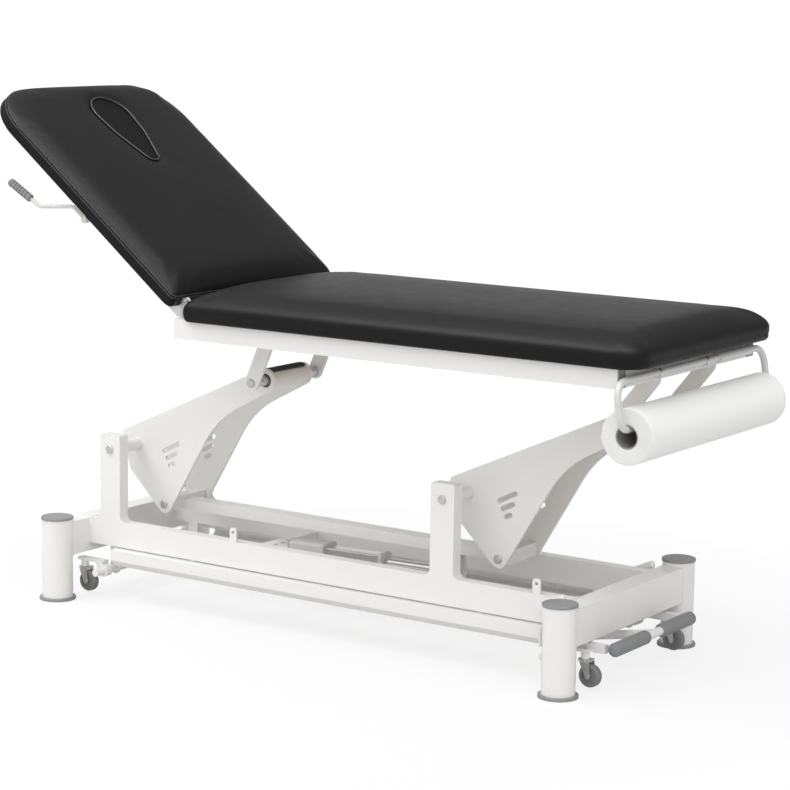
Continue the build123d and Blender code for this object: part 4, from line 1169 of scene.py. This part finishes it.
def make_sky(scene):
    """The studio round the table, white to the camera and brighter from some sides than from others."""
    world = bpy.data.worlds.new("Studio")
    scene.world = world
    world.use_nodes = True
    world.node_tree.nodes.clear()
    sky = Shader(world.node_tree)
    way = sky.add("ShaderNodeTexCoord", {}, {}, "Generated")
    light = AMBIENT
    for direction, narrow, strength in GLOWS:
        aim = tuple(Vector(direction).normalized())
        glow = sky.vectors("DOT_PRODUCT", way, aim, output="Value").clamped()
        light = light + glow.power(narrow) * strength
    lit = sky.add("ShaderNodeBackground", {}, {"Color": (1, 1, 1, 1), "Strength": light})
    plain = sky.add("ShaderNodeBackground", {}, {"Color": (1, 1, 1, 1), "Strength": SEEN_WHITE})
    mix = sky.add("ShaderNodeMixShader", {}, (sky.camera_ray(), lit, plain))
    sky.show(sky.tree.nodes.new("ShaderNodeOutputWorld"), mix)


def add_lamps():
    for name, place, target, size, power, gloss in LAMPS:
        lamp = bpy.data.lights.new(name, "AREA")
        lamp.shape, lamp.size, lamp.size_y, lamp.energy = "RECTANGLE", *size, power
        obj = linked(name, lamp)
        obj.visible_glossy, obj.visible_diffuse = gloss, not gloss
        obj.location = place
        obj.rotation_mode = "QUATERNION"
        obj.rotation_quaternion = (Vector(target) - Vector(place)).to_track_quat("-Z", "Y")


def add_camera(scene):
    camera = bpy.data.cameras.new("camera")
    camera.sensor_width = SENSOR
    camera.lens = FOCAL_PIXELS * SENSOR / PHOTO_WIDTH
    camera.clip_end = 100
    obj = linked("camera", camera)
    scene.camera = obj
    flat = math.cos(PITCH)
    ahead = Vector((-math.sin(YAW) * flat, math.cos(YAW) * flat, -math.sin(PITCH)))
    level = Vector((math.cos(YAW), math.sin(YAW), 0))
    up = level.cross(ahead)
    right = level * math.cos(ROLL) + up * math.sin(ROLL)
    above = up * math.cos(ROLL) - level * math.sin(ROLL)
    axes = Matrix((right, above, -ahead)).transposed().to_4x4()
    eye = Vector((EYE_X - LEG_X * MM, EYE_Y - LEG_Y * MM, EYE_Z)) + Vector((SHIFT, 0, 0))
    obj.matrix_world = Matrix.Translation(eye) @ axes


class TABLE_OT_stage(Operator):
    """Make the floor, the lamps and the camera"""

    bl_idname = "table.stage"
    bl_label = "Stage"

    def execute(self, context):
        context.scene.view_settings.view_transform = "Standard"
        make_floor()
        make_sky(context.scene)
        add_lamps()
        add_camera(context.scene)
        return {"FINISHED"}


OPERATORS = (
    TABLE_OT_finishes,
    TABLE_OT_seat,
    TABLE_OT_backrest,
    TABLE_OT_plug,
    TABLE_OT_seams,
    TABLE_OT_fasteners,
    TABLE_OT_welds,
    TABLE_OT_end_plugs,
    TABLE_OT_roll,
    TABLE_OT_stage,
)


class TABLE_PT_panel(Panel):
    """Lists the pieces of the table"""

    bl_idname = "TABLE_PT_panel"
    bl_label = "Examination Table"
    bl_space_type = "VIEW_3D"
    bl_region_type = "UI"
    bl_category = "Table"

    def draw(self, context):
        for name in TableSettings.__annotations__:
            self.layout.prop(context.scene.table_settings, name)
        for operator in OPERATORS:
            self.layout.operator(operator.bl_idname)


CLASSES = (TableSettings, *OPERATORS, TABLE_PT_panel)


def register():
    for cls in CLASSES:
        bpy.utils.register_class(cls)
    bpy.types.Scene.table_settings = PointerProperty(type=TableSettings)


def unregister():
    del bpy.types.Scene.table_settings
    for cls in reversed(CLASSES):
        bpy.utils.unregister_class(cls)


def main():
    register()
    for operator in OPERATORS:
        group, name = operator.bl_idname.split(".")
        getattr(getattr(bpy.ops, group), name)()


if __name__ == "__main__":
    main()
